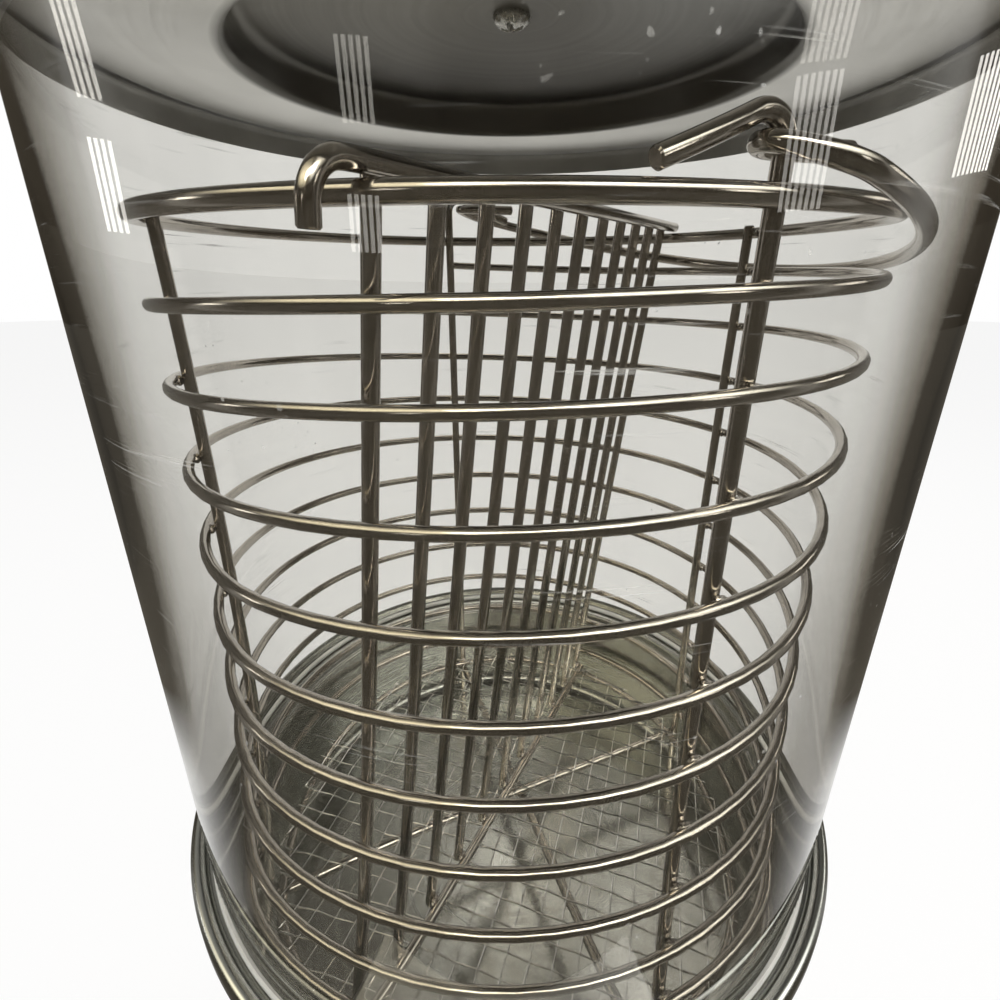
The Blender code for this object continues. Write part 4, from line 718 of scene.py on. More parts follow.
def build_basket():
    """Rings, coil, uprights, cross rods and the weld beads that join them: tubes along paths."""
    turn = np.arange(TURN_STEPS) / TURN_STEPS * ROUND
    ring = polar(RING_RADIUS, turn, RING_HEIGHT)
    piece("top_ring", "basket", WIRE, tube(ring, TOP_WIRE, 20, closed=True), ["basket_top_ring"])

    low, high = BOTTOM_RING
    bottom_wire = (high - low)[2] / 2
    bottom_radius = (high - low)[0] / 2 - bottom_wire
    ring = polar(bottom_radius, turn, low[2] + bottom_wire)
    piece("bottom_ring", "basket", WIRE, tube(ring, bottom_wire, 16, closed=True),
          ["basket_bottom_ring"])

    start = UPRIGHT_ANGLES["back"] - ROUND
    end = UPRIGHT_ANGLES["front"] + ROUND * COIL_TURNS
    angle = np.linspace(start, end, round((end - start) / ROUND * COIL_STEPS) + 1)
    height = coil_height(angle)
    piece("coil", "basket", WIRE, tube(polar(coil_radius(height), angle, height), COIL_WIRE, 16),
          ["basket_coil"])

    for side in ("right", "left"):
        height = np.linspace(UPRIGHT_FOOT, RING_HEIGHT + UPRIGHT_TOP, 24)
        line = polar(wall_radius(height), UPRIGHT_ANGLES[side], height)
        outward = polar(1.0, UPRIGHT_ANGLES[side], 0.0) - np.array([*AXIS, 0.0])
        piece(f"upright_{side}", "basket", WIRE, tube(line, UPRIGHT_WIRE, up=outward),
              [f"basket_upright_{side}"])
    for side in ("front", "back"):
        outward = polar(1.0, UPRIGHT_ANGLES[side], 0.0) - np.array([*AXIS, 0.0])
        piece(f"upright_{side}", "basket", WIRE, tube(eye_line(side), UPRIGHT_WIRE, up=outward),
              [f"basket_upright_{side}"])

    reach = UPRIGHT_FOOT_RADIUS - UPRIGHT_WIRE - GAP
    for i, (box, sides, inset) in enumerate(((ROD_1, ("right", "left"), 0.0033),
                                             (ROD_2, ("front", "back"), 0.0)), 1):
        middle = (box[0] + box[1])[2] / 2
        ends = [polar(reach - inset, UPRIGHT_ANGLES[side], middle) for side in sides]
        line = ends[0] + np.linspace(0, 1, 12)[:, None] * (ends[1] - ends[0])
        piece(f"cross_rod_{i}", "basket", WIRE, tube(line, UPRIGHT_WIRE),
              [f"basket_cross_rod_{i}"])

    centres, outward = [], []
    for angle in UPRIGHT_ANGLES.values():
        turns = angle + ROUND * np.arange(-1, COIL_TURNS + 1)
        turns = turns[(turns > start) & (turns < end)]
        height = coil_height(turns)
        touching = coil_radius(height) - COIL_WIRE
        centres.append(polar(touching, turns, height))
        centres.append(polar(UPRIGHT_RADIUS + UPRIGHT_WIRE, angle, RING_HEIGHT)[None])
        centres.append(polar(bottom_radius + bottom_wire, angle, low[2] + bottom_wire)[None])
    centres = np.vstack(centres)
    outward = centres - np.array([*AXIS, 0.0])
    outward[:, 2] = 0.0
    outward /= np.linalg.norm(outward, axis=1)[:, None]
    piece("basket_welds", "basket", WELD, bead(centres, (0.0010, 0.0020, 0.0013), outward))


def build_woven_floor():
    """The woven floor: two crossed sets of wires, each rising and falling as a cosine of its run."""
    radius = (NET_HIGH - NET_LOW)[0] / 2
    height = (NET_HIGH + NET_LOW)[2] / 2
    count = int(radius / MESH_PITCH)
    offset = (np.arange(-count, count) + 0.5) * MESH_PITCH
    half = np.sqrt(radius ** 2 - offset ** 2)
    patches = []
    for crossing, turn in enumerate((0.0, math.pi / 2)):
        direction = np.array([math.cos(MESH_ANGLE + turn), -math.sin(MESH_ANGLE + turn), 0.0])
        across = np.array([math.sin(MESH_ANGLE + turn), math.cos(MESH_ANGLE + turn), 0.0])
        for number, (aside, reach) in enumerate(zip(offset, half)):
            steps = max(int(reach / MESH_PITCH * 6), 4)
            run = np.linspace(-reach, reach, steps)
            wave = np.sin(math.pi * run / MESH_PITCH + math.pi * (number + crossing))
            line = (np.array([*AXIS, height]) + run[:, None] * direction + aside * across
                    + (wave * MESH_WIRE * 0.95)[:, None] * np.array([0.0, 0.0, 1.0]))
            patches.append(tube(line, MESH_WIRE, 7, up=across))
    piece("woven_floor", "basket", MESH, joined(patches), ["basket_floor_net"], 50.0)


def fence_point(along, height, side=0.0):
    """A point of the leaning divider: along it, at a height, and off its bars' plane."""
    low = NET_HIGH[2] + GAP + FENCE_WIRE
    high = RING_HEIGHT + TOP_WIRE + FENCE_WIRE + GAP
    along, height, side = np.broadcast_arrays(along, height, side)
    share = (height - low) / (high - low)
    offset = FENCE_BOTTOM_OFFSET + (FENCE_TOP_OFFSET - FENCE_BOTTOM_OFFSET) * share + side
    normal = np.array([math.cos(FENCE_ANGLE), -math.sin(FENCE_ANGLE), 0.0])
    direction = np.array([math.sin(FENCE_ANGLE), math.cos(FENCE_ANGLE), 0.0])
    return (np.array([*AXIS, 0.0]) + along[..., None] * direction + offset[..., None] * normal
            + height[..., None] * np.array([0.0, 0.0, 1.0]))


def build_divider():
    """The divider: eleven straight bars between a bottom rail and a hooked top rail."""
    low = NET_HIGH[2] + GAP + FENCE_WIRE
    high = RING_HEIGHT + TOP_WIRE + FENCE_WIRE + GAP
    side = 2 * FENCE_WIRE + GAP
    half_length = FENCE_SPACING * (FENCE_BARS - 1) / 2
    normal = np.array([math.cos(FENCE_ANGLE), -math.sin(FENCE_ANGLE), 0.0])
    placed = -half_length + np.arange(FENCE_BARS) * FENCE_SPACING
    for i, along in enumerate(placed, 1):
        height = np.linspace(low - FENCE_WIRE, high + FENCE_BAR_PROUD, 20)
        piece(f"fence_bar_{i:02d}", "divider", WIRE, tube(fence_point(along, height), FENCE_WIRE, up=normal),
              [f"divider_bar_{i:02d}"])
    run = np.linspace(-half_length, half_length, 24)
    piece("fence_bottom_rail", "divider", WIRE, tube(fence_point(run, low, side), FENCE_WIRE),
          ["divider_bottom_rail"])

    offset = FENCE_TOP_OFFSET + side
    crossing = math.sqrt(BASKET_RADIUS ** 2 - offset ** 2)
    bend_start = -crossing - HOOK_REACH + HOOK_BEND
    turn = np.linspace(0, math.pi / 2, 13)
    rail_end = fence_rail_end()
    along = np.concatenate([np.linspace(rail_end, bend_start, 24)[:-1],
                            bend_start - HOOK_BEND * np.sin(turn), [bend_start - HOOK_BEND]])
    height = np.concatenate([np.full(23, high), high - HOOK_BEND + HOOK_BEND * np.cos(turn),
                             [RING_HEIGHT - HOOK_DROP]])
    piece("fence_top_rail", "divider", WIRE, tube(fence_point(along, height, side), FENCE_WIRE, up=normal),
          ["divider_top_rail"])

    touch = side / 2
    centres = np.vstack([fence_point(placed, low, touch), fence_point(placed, high, touch)])
    piece("divider_welds", "divider", WELD, bead(centres, (0.0011, 0.0019, 0.0012), np.tile(normal, (22, 1))))


def fence_rail_end():
    """How far the divider's top rail runs to the back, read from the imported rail's highest corner."""
    corner = span("divider_top_rail")[1]
    return (corner[1] - AXIS[1] - FENCE_WIRE * math.sin(FENCE_ANGLE)
            + (FENCE_TOP_OFFSET + 2 * FENCE_WIRE + GAP) * math.sin(FENCE_ANGLE)) / math.cos(FENCE_ANGLE)


def pivot_point(side):
    """The middle of the bail's wire inside an eye."""
    height = RING_HEIGHT + EYE_RISE[side] - UPRIGHT_WIRE - GAP - BAIL_WIRE
    return polar(UPRIGHT_RADIUS, UPRIGHT_ANGLES[side] + EYE_RADIUS / UPRIGHT_RADIUS, height)


def build_bail():
    """The bail: an arc outside the basket that hangs low in its middle, with both ends turned in."""
    front, back = pivot_point("front"), pivot_point("back")
    direction = (back - front) / np.linalg.norm(back - front)
    normal = np.array([direction[1], -direction[0], 0.0])
    normal /= np.linalg.norm(normal)
    centre = np.array([*AXIS, 0.0])
    middle = (front + back) / 2 - centre
    ends = []
    for pivot, sign in ((front, -1.0), (back, 1.0)):
        ends.append(pivot + sign * direction * (BAIL_RADIUS - np.linalg.norm((pivot - centre)[:2])))
    start, end = (math.atan2(*(point - centre)[:2]) for point in ends)
    start += ROUND if start < end else 0.0
    deepest = BAIL_RADIUS - middle @ normal
    bend = BAIL_BEND / BAIL_RADIUS
    angle = np.linspace(start - bend, end + bend, 61)
    bow = polar(BAIL_RADIUS, angle, 0.0)
    away = np.maximum((bow - centre - middle) @ normal, 0.0)
    bow[:, 2] = front[2] + direction[2] * ((bow - front) @ direction) - BAIL_DROP * away / deepest
    tail = normal * BAIL_TAIL
    corner = 0.4 * BAIL_BEND
    front_in, back_in = front + direction * BAIL_TAIL_SET, back - direction * BAIL_TAIL_SET
    first = rounded(np.vstack([front_in + tail, front_in + tail * 0.2, front_in - direction * corner,
                               ends[0] + direction * BAIL_BEND * 0.7, bow[0], bow[1]]),
                    [0.004, 0.004, 0.004, 0.001])[:-1]
    last = rounded(np.vstack([bow[-2], bow[-1], ends[1] - direction * BAIL_BEND * 0.7,
                              back_in + direction * corner, back_in + tail * 0.2, back_in + tail]),
                   [0.001, 0.004, 0.004, 0.004])[1:]
    line = eased(np.vstack([first, bow[1:-1], last]), BAIL_EASE, BAIL_TAIL + BAIL_EASE)
    plane = np.cross(direction, tail / BAIL_TAIL)
    piece("bail", "bail", WIRE, tube(line, BAIL_WIRE, 18, up=plane, worn=(front, back)), ["bail_handle"])


# The base

def build_housing():
    """The drum: a sheet line turned about the axis, with cells left out for the slots and windows."""
    outer = (HOUSING_HIGH - HOUSING_LOW)[0] / 2
    low, high = HOUSING_LOW[2], HOUSING_HIGH[2]
    vent_low, vent_high = 0.024, 0.046
    box_low, box_high = BOX_LOW[2] + 0.012, BOX_HIGH[2] - 0.012
    top = rounded([(outer - 0.006, high), (outer, high), (outer, high - 0.004)], 0.0016, 6)
    foot = rounded([(outer, low + 0.004), (outer, low), (outer - 0.010, low)], 0.0016, 6)
    wall = np.array(sorted([vent_low, vent_high, box_low, box_high, 0.12], reverse=True))
    line = np.vstack([top, np.stack([np.full(len(wall), outer), wall], 1), foot])

    slots = [(math.radians(centre) + (i - 2) * math.radians(9.0), 0.002 / outer, vent_low, vent_high)
             for centre in (52.0, -52.0) for i in range(5)]
    slots.append((math.pi, math.asin(0.045 / outer), box_low, box_high))
    slots.append((0.0, 0.0135 / outer, vent_low + 0.012, vent_high + 0.010))
    edges = np.array([angle + sign * half for angle, half, _, _ in slots for sign in (-1, 1)]) % ROUND
    plain = np.arange(TURN_STEPS) / TURN_STEPS * ROUND
    nearest = np.abs((plain[:, None] - edges + math.pi) % ROUND - math.pi).min(1)
    turn = np.sort(np.append(plain[nearest > math.radians(0.4)], edges))
    radius, height = line[:, :1], line[:, 1:]
    grid = polar(radius, turn[None, :], height)
    points, faces, uv = patch(grid)

    middle_turn = (turn + (np.append(turn[1:], turn[0] + ROUND) - turn) / 2)[None, :]
    middle_height = ((height[1:] + height[:-1]) / 2)
    open_cell = np.zeros((len(line) - 1, len(turn)), bool)
    for angle, half, bottom, upper in slots:
        near = np.abs((middle_turn - angle + math.pi) % ROUND - math.pi) < half
        open_cell |= near & (middle_height > bottom) & (middle_height < upper)
    keep = ~open_cell.ravel()
    faces = [face for face, kept in zip(faces, keep) if kept]
    uv = uv.reshape(-1, 4, 2)[keep].reshape(-1, 2)
    drum = piece("drum", "base", DRUM, (points, faces, uv), ["housing_shell"])
    work = bmesh.new()
    work.from_mesh(drum.data)
    for edge in work.edges:
        edge.smooth = edge.smooth and not edge.is_boundary
    work.to_mesh(drum.data)
    work.free()
    wall = drum.modifiers.new("wall", "SOLIDIFY")
    wall.thickness = SHEET
    wall.offset = -1.0


def drum_side(grid, rows, radius, front=True):
    """Move some rows of a grid in Y onto the drum's round side."""
    reach = np.sqrt(radius ** 2 - (grid[rows, :, 0] - AXIS[0]) ** 2)
    grid[rows, :, 1] = AXIS[1] + (-reach if front else reach)
    return grid


def build_control_box():
    """The control box: rounded rectangles from the drum's side, over the front edge, to the fascia."""
    centre = (BOX_LOW + BOX_HIGH) / 2
    half_width, half_height = (BOX_HIGH - BOX_LOW)[0] / 2, (BOX_HIGH - BOX_LOW)[2] / 2
    front = BOX_LOW[1]
    corner = 0.003
    rings = [(half_width, half_height, corner, 0.0), (half_width, half_height, corner, front + 0.003)]
    turn = np.linspace(0, math.pi / 2, 6)[1:]
    rings += [(half_width - 0.0014 * (1 - math.cos(t)), half_height - 0.0014 * (1 - math.cos(t)),
               corner - 0.0008 * (1 - math.cos(t)), front + 0.0014 - 0.0014 * math.sin(t)) for t in turn]
    inset = 0.0018
    rings += [(half_width - inset + 0.0001, half_height - inset + 0.0001, corner - 0.001, front + 0.0002),
              (half_width - inset, half_height - inset, corner - 0.001, front + 0.0024),
              (half_width - 0.006, half_height - 0.006, corner - 0.001, front + 0.0024),
              (half_width - 0.006, half_height - 0.006, corner - 0.001, 0.0)]
    grid = rectangle_rings(rings)
    grid += np.array([centre[0], 0.0, centre[2]])
    drum_side(grid, [0, len(rings) - 1], HOUSING_HIGH[0] + GAP)
    piece("box_cover", "base", BOX, patch(grid, wrap_rows=True), ["control_box"], 40.0)


def screw_head(centre, outward, radius, turned=0.0):
    """A domed screw head with a cross recess: a disc whose height is a dome, less the recess
    where either distance across the cross is small, over a short cylinder."""
    share = np.concatenate([np.linspace(0.03, 0.6, 14), np.linspace(0.66, 1.0, 7)])[:, None]
    turn = np.arange(48) / 48 * ROUND
    x, y = share * np.cos(turn), share * np.sin(turn)
    c, s = math.cos(turned), math.sin(turned)
    across = np.minimum(np.abs(x * c + y * s), np.abs(y * c - x * s))
    recess = np.clip((0.14 - across) / 0.05, 0, 1) * np.clip((0.62 - share) / 0.08, 0, 1)
    height = 0.55 * np.sqrt(np.maximum(1.02 - share ** 2, 0.0)) - 0.32 * recess
    local = np.stack([x, y, height], -1) * radius
    base = np.stack([np.cos(turn), np.sin(turn), -0.05 + 0 * turn], -1)[None] * radius
    local = np.concatenate([local, base], 0)
    grid = local @ np.array(Vector(outward).to_track_quat("Z", "Y").to_matrix()).T + np.asarray(centre)
    return patch(grid, False, True, (True, True))


def build_screws():
    """The screws of the fascia, the inlet, the feet and the lid's knob."""
    front = BOX_LOW[1] + 0.0001
    middle = (BOX_LOW + BOX_HIGH) / 2
    half = (BOX_HIGH - BOX_LOW) / 2 - 0.007
    heads = [screw_head((middle[0] + i * half[0], front, middle[2] + j * half[2]), (0, -1, 0), 0.0026,
                        0.4 + i + 0.7 * j) for i in (-1, 1) for j in (-1, 1)]
    piece("fascia_screws", "base", SCREW, joined(heads), sharp=40.0)

    middle = (INLET_LOW + INLET_HIGH) / 2
    back = INLET_HIGH[1] - 0.0002
    heads = [screw_head((middle[0] + i * 0.0195, back, middle[2]), (0, 1, 0), 0.0026, 0.5 + i) for i in (-1, 1)]
    piece("inlet_screws", "base", SCREW, joined(heads), sharp=40.0)

    for i in range(1, 5):
        low, high = span(f"foot_screw_{i}")
        middle = (low + high) / 2
        radius = (high - low)[0] / 2
        head = screw_head((middle[0], middle[1], low[2] + 0.002), (0, 0, -1), radius, 0.3 * i)
        rod = np.array([(middle[0], middle[1], z) for z in np.linspace(low[2] + 0.0019, high[2], 4)])
        shank = tube(rod, 0.0019, 16, up=(1.0, 0.0, 0.0))
        piece(f"foot_fixing_{i}", "base", SCREW, joined([head, shank]), [f"foot_screw_{i}"], 40.0)

    low, high = span("lid_knob_screw")
    middle = (low + high) / 2
    head = screw_head((middle[0], middle[1], low[2] + 0.0022), (0, 0, -1), 0.0044, 0.2)
    rod = np.array([(middle[0], middle[1], z) for z in np.linspace(low[2] + 0.0021, high[2], 4)])
    piece("lid_fixing", "lid", SCREW, joined([head, tube(rod, 0.0019, 16, up=(1.0, 0.0, 0.0))]),
          ["lid_knob_screw"], 40.0)


def build_feet():
    """The rubber feet: a ribbed cone with a hollow for its screw, turned."""
    for i in range(1, 5):
        low, high = span(f"foot_{i}")
        centre = ((low + high) / 2)[:2]
        radius = (high - low)[0] / 2
        top = high[2]
        profile = rounded([(0.0024, top), (radius, top), (radius, top - 0.002), (radius - 0.0006, top - 0.0024),
                           (radius - 0.0003, top - 0.0032), (radius - 0.0013, 0.0), (0.0055, 0.0),
                           (0.0055, 0.004), (0.0024, 0.004)], 0.0007, 4, True)
        piece(f"rubber_foot_{i}", "base", RUBBER, lathe(profile, (*centre, 0.0), steps=72), [f"foot_{i}"],
              50.0)


# The controls

def build_dial():
    """The dial: a turned plate with a raised edge, printed marks and numbers, and the knob on it."""
    centre = (DIAL_LOW + DIAL_HIGH) / 2
    back, front = DIAL_HIGH[1], DIAL_LOW[1]
    radius = (DIAL_HIGH - DIAL_LOW)[0] / 2
    thick = back - front
    profile = rounded([(0.005, 0.0), (radius, 0.0), (radius, thick), (radius - 0.0008, thick),
                       (radius - 0.0012, thick - 0.0002), (0.005, thick - 0.0002)], 0.0002, 4, True)
    piece("dial_disc", "base", DIAL, lathe(profile, (centre[0], back, centre[2]), (0, -1, 0), 144),
          ["dial_plate"], 40.0)

    face = front + 0.00015
    degrees = np.radians(np.arange(0, 271, 15))
    marks = []
    for i, angle in enumerate(degrees):
        long_mark = i % 3 == 0
        start, end = radius - 0.0036 if long_mark else radius - 0.0028, radius - 0.0016
        wide = 0.00035 if long_mark else 0.00022
        marks.append(mark_bar(centre, face, angle, start, end, wide))
    piece("dial_marks", "base", BLACK_INK, joined(marks))

    numbers = []
    for value in range(7):
        angle = math.radians(45.0 * value)
        place = np.array([centre[0] + (radius - 0.0059) * math.sin(angle), face,
                          centre[2] + (radius - 0.0059) * math.cos(angle)])
        numbers.append(printed_text(str(value), place, 0.0040))
    piece("dial_numbers", "base", BLACK_INK, joined(numbers))

    low, high = KNOB_FACE_LOW, KNOB_FACE_HIGH
    back, front = high[1], low[1]
    depth = back - front
    rim = (high - low)[0] / 2
    skirt = 0.004
    profile = rounded([(0.0034, 0.0), (rim, 0.0), (rim, skirt - 0.0004), (rim - 0.0016, skirt + 0.0003),
                       (0.0034, skirt + 0.0003)], 0.0008, 5, True)

    def flutes(turn, height):
        """Fine teeth round the skirt's edge."""
        return 1 - 0.012 * (0.5 - 0.5 * np.cos(60 * turn))

    at = (centre[0], back, centre[2])
    piece("knob_skirt", "dial", PHENOLIC, lathe(profile, at, (0, -1, 0), 360, wave=flutes),
          ["thermostat_knob"], 50.0)

    length, width = rim - 0.0017, 0.0045
    rings = [(width + 0.0006, length - 0.0002, 0.0040, back - skirt), (width, length - 0.0006, 0.0036, back - skirt - 0.001),
             (width - 0.0005, length - 0.0016, 0.0034, front + 0.0024)]
    turn = np.linspace(0, math.pi / 2, 6)[1:]
    rings += [(width - 0.0005 - 0.0016 * (1 - math.cos(t)), length - 0.0016 - 0.0020 * (1 - math.cos(t)),
               0.0034 - 0.0014 * (1 - math.cos(t)), front + 0.0024 * (1 - math.sin(t))) for t in turn]
    grid = rectangle_rings(rings) + np.array([centre[0], 0.0, centre[2]])
    piece("knob_grip", "dial", PHENOLIC, patch(grid, False, True, (True, True)), sharp=50.0)
    start = length - 0.0080
    pointer = mark_bar(centre, front - 0.00002, 0.0, start, length - 0.0040, 0.00055)
    skirt_line = mark_bar(centre, back - skirt - 0.0004, 0.0, length + 0.0001, rim - 0.0018, 0.00055)
    piece("knob_pointer", "dial", WHITE_INK, joined([pointer, skirt_line]))


def mark_bar(centre, face, angle, start, end, half_width):
    """A thin printed bar that points away from a centre, on a face that looks to the front."""
    along = np.array([math.sin(angle), 0.0, math.cos(angle)])
    across = np.array([math.cos(angle), 0.0, -math.sin(angle)])
    corner = np.array([(start, -half_width), (end, -half_width), (end, half_width), (start, half_width)])
    flat = (np.array([centre[0], 0.0, centre[2]]) + corner[:, :1] * along + corner[:, 1:] * across)
    grid = np.stack([flat + (0, face, 0), flat + (0, face - 0.00006, 0)])
    return patch(grid, False, True, (True, True))


def printed_text(text, place, size):
    """Text as a thin mesh: its curve's faces, turned to look to the front and moved to a place."""
    curve = bpy.data.curves.new("printing", "FONT")
    curve.body = text
    curve.size = size
    curve.align_x = "CENTER"
    curve.align_y = "CENTER"
    curve.extrude = 0.00003
    curve.resolution_u = 3
    item = bpy.data.objects.new("printing", curve)
    mesh = bpy.data.meshes.new_from_object(item)
    points = np.zeros(len(mesh.vertices) * 3)
    mesh.vertices.foreach_get("co", points)
    points = points.reshape(-1, 3)
    faces = [list(face.vertices) for face in mesh.polygons]
    bpy.data.objects.remove(item)
    bpy.data.meshes.remove(mesh)
    points = np.stack([points[:, 0], -points[:, 2], points[:, 1]], 1) + place
    return points, faces, np.zeros((sum(len(face) for face in faces), 2))


def build_switch():
    """The switch: rounded rectangles for its body and frame, and a rocker with two marks."""
    centre = (SWITCH_LOW + SWITCH_HIGH) / 2
    half = (SWITCH_HIGH - SWITCH_LOW) / 2
    front, back = SWITCH_LOW[1], SWITCH_HIGH[1]
    frame_width = 0.0025
    body = half - np.array([frame_width, 0.0, frame_width])
    inside = body - 0.001
    rings = [(body[0], body[2], 0.0006, back), (body[0], body[2], 0.0006, front + 0.0021),
             (half[0], half[2], 0.0022, front + 0.0020), (half[0], half[2], 0.0022, front + 0.0009),
             (half[0] - 0.0003, half[2] - 0.0003, 0.0020, front + 0.0003),
             (half[0] - 0.0009, half[2] - 0.0009, 0.0016, front),
             (inside[0] + 0.0004, inside[2] + 0.0004, 0.0008, front),
             (inside[0], inside[2], 0.0006, front + 0.0006), (inside[0], inside[2], 0.0006, front + 0.0145)]
    grid = rectangle_rings(rings) + np.array([centre[0], 0.0, centre[2]])
    piece("switch_frame", "base", SWITCH, patch(grid, False, True, (True, True)), ["switch_body"],
          40.0)

    width, length = inside[0] - GAP, inside[2] - 0.001
    depth, proud, dip = 0.006, 0.0042, 0.001
    outline = rounded([(-length, -depth), (length, -depth), (length, proud), (0.0, proud - dip),
                       (-length, proud)], [0.0004, 0.0004, 0.0008, 0.004, 0.0008], 7, True)
    across = np.array([(-width, 0.0), (-width + 0.0002, 1.0), (width - 0.0002, 1.0), (width, 0.0)])
    shrink = 1 - 0.03 * (1 - across[:, 1])
    local = np.stack([np.broadcast_to(across[:, :1], (4, len(outline))),
                      -outline[None, :, 1] * shrink[:, None], outline[None, :, 0] * shrink[:, None]], -1)
    tilt = np.array(Matrix.Rotation(math.radians(9.0), 3, "X"))
    pivot = np.array([centre[0], BOX_LOW[1], centre[2]])
    piece("rocker", "rocker", ROCKER, patch(local @ tilt.T + pivot, False, True, (True, True)),
          ["switch_rocker"], 40.0)

    slope = dip / length
    height = length * 0.55
    surface = proud - dip + slope * height
    lean = math.atan(slope)
    turn = np.arange(32) / 32 * ROUND
    radii, lifts = np.array([0.0016, 0.0016, 0.0011, 0.0011]), np.array([-0.00005, 0.00006, 0.00006, -0.00005])
    ring = np.stack([radii[:, None] * np.cos(turn), -lifts[:, None] + 0 * turn, radii[:, None] * np.sin(turn)], -1)
    bar = np.array([(x, y, z) for y in (0.00005, -0.00006)
                    for x, z in ((-0.0003, -0.0017), (0.0003, -0.0017), (0.0003, 0.0017), (-0.0003, 0.0017))])
    marks = []
    for local, sign in ((ring, -1.0), (bar.reshape(2, 4, 3), 1.0)):
        turned = local @ np.array(Matrix.Rotation(sign * lean, 3, "X")).T
        moved = (turned + np.array([0.0, -surface, sign * height])) @ tilt.T + pivot
        if sign < 0:
            marks.append(patch(moved, True, True))
        else:
            marks.append(patch(moved, False, True, (True, True)))
    piece("rocker_marks", "rocker", WHITE_INK, joined(marks))


def build_lamp():
    """The pilot lamp: a turned bezel and a domed lens."""
    centre = (LAMP_LOW + LAMP_HIGH) / 2
    radius = (LAMP_HIGH - LAMP_LOW)[0] / 2
    face = BOX_LOW[1]
    proud = face - LAMP_LOW[1]
    body = radius - 0.002
    profile = rounded([(0.0006, -0.018), (body, -0.018), (body, GAP), (radius, GAP), (radius - 0.0003, proud),
                       (body - 0.001, proud), (body - 0.001, -0.001), (0.0006, -0.001)],
                      [0.0004, 0.0002, 0.0003, 0.0006, 0.0003, 0.0002], 5)
    at = (centre[0], face, centre[2])
    piece("lamp_bezel", "base", SWITCH, lathe(profile, at, (0, -1, 0), 72, closed=False),
          ["pilot_lamp_body"], 40.0)
    lens = (LENS_HIGH - LENS_LOW)[0] / 2
    top = face - LENS_LOW[1]
    share = np.linspace(1.0, 0.05, 12)
    dome = np.stack([lens * share, top - 0.0028 + 0.0028 * np.sqrt(1 - 0.98 * share ** 2)], 1)
    profile = np.vstack([[(0.0006, -0.0007), (lens, -0.0007)], dome])
    piece("lamp_lens", "base", AMBER, lathe(profile, at, (0, -1, 0), 72, closed=False),
          ["pilot_lamp_lens"], 60.0)


def build_inlet():
    """The power inlet: rounded rectangles from its body, over the flange, into the mouth; three pins."""
    centre = (INLET_LOW + INLET_HIGH) / 2
    half = (INLET_HIGH - INLET_LOW) / 2
    face, inner = INLET_HIGH[1], INLET_LOW[1]
    body = (0.01375, 0.010)
    mouth = (0.0120, 0.00825)
    rings = [(*body, 0.001, inner), (*body, 0.001, 0.0), (half[0], half[2], 0.003, 0.0),
             (half[0], half[2], 0.003, face - 0.0009), (half[0] - 0.0003, half[2] - 0.0003, 0.0027, face - 0.0003),
             (half[0] - 0.0009, half[2] - 0.0009, 0.0021, face), (mouth[0] + 0.0006, mouth[1] + 0.0006, 0.0026, face),
             (*mouth, 0.0022, face - 0.0006), (*mouth, 0.0022, face - 0.017)]
    grid = rectangle_rings(rings) + np.array([centre[0], 0.0, centre[2]])
    grid[0, :, 1], grid[3:, :, 1] = inner, grid[3:, :, 1]
    drum_side(grid, [1, 2], HOUSING_HIGH[0] + GAP, front=False)
    piece("inlet_moulding", "base", SWITCH, patch(grid, False, True, (True, True)), ["inlet_socket"],
          40.0)
    pins = []
    for column, rise in ((-1.0, -1.0), (0.0, 1.0), (1.0, -1.0)):
        rings = [(0.0010, 0.0020, 0.0002, face - 0.0169), (0.0010, 0.0020, 0.0002, face - 0.0026),
                 (0.0005, 0.0015, 0.0002, face - 0.0020)]
        pin = rectangle_rings(rings, 2) + np.array([centre[0] + column * 0.007, 0.0, centre[2] + rise * 0.002])
        pins.append(patch(pin, False, True, (True, True)))
    piece("inlet_pins", "base", BRASS, joined(pins))


def finish_kept_nodes():
    """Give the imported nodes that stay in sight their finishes."""
    kept = {"bottom_plate": ZINC, "control_fascia": FASCIA, "thermostat_body": ZINC, "thermostat_bulb": BRASS,
            "thermostat_shaft": BRASS, "heater_ring": HEATER, "heater_clamp_plate": ZINC, "heater_stud": ZINC,
            "thermal_cutout": CERAMIC, "terminal_block": CERAMIC}
    for name, finish in kept.items():
        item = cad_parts[name]
        item.data.materials.clear()
        item.data.materials.append(finish)


# The stage

CAMERA_BACK = 0.16313
CAMERA_HEIGHT = 0.300
CAMERA_PITCH = math.radians(90.0 - 21.4)
CAMERA_TURN = math.radians(0.956)
CAMERA_LENS = 20.04
FLOOR_RINGS = (0.02, 0.5, 1.5, 6.0)
FLOOR_GLOW = 0.8
ROOM_BACK = (-0.15, 0.3)
ROOM_CEILING = (0.45, 0.65)
ROOM_SIDES = (-0.7, 0.1)
ROOM_CORNER = ((0.62, 0.67), (1.0, 0.985))
ROOM_CORNER_REACH = (0.26, 0.36)
ROOM_DARK = (0.05, 0.042, 0.031)
ROOM_PALE = (0.95, 0.94, 0.92)
ROOM_ABOVE_LEFT = (0.40, 0.39, 0.36)
ROOM_ABOVE = (0.10, 0.097, 0.085)
SKYLIGHT_RISE = (0.34, 0.58)
SKYLIGHT_FALL = (0.93, 0.68)
SKYLIGHT_LEFT = ((0.05, -0.2), (2.7, 2.5, 1.9))
SKYLIGHT_RIGHT = ((0.2, 0.55), (4.6, 4.6, 4.3))
SKYLIGHT_MIDDLE = (0.7, 0.62, 0.45)
TABLE_PALE = (0.75, 0.745, 0.73)
TABLE_DARK = (0.085, 0.076, 0.061)
FLOOR_STRENGTH = 1.05
AMBIENT = 0.42
BAR_SHARE = 0.6
LAMP_COLOUR = (1.0, 0.97, 0.91)


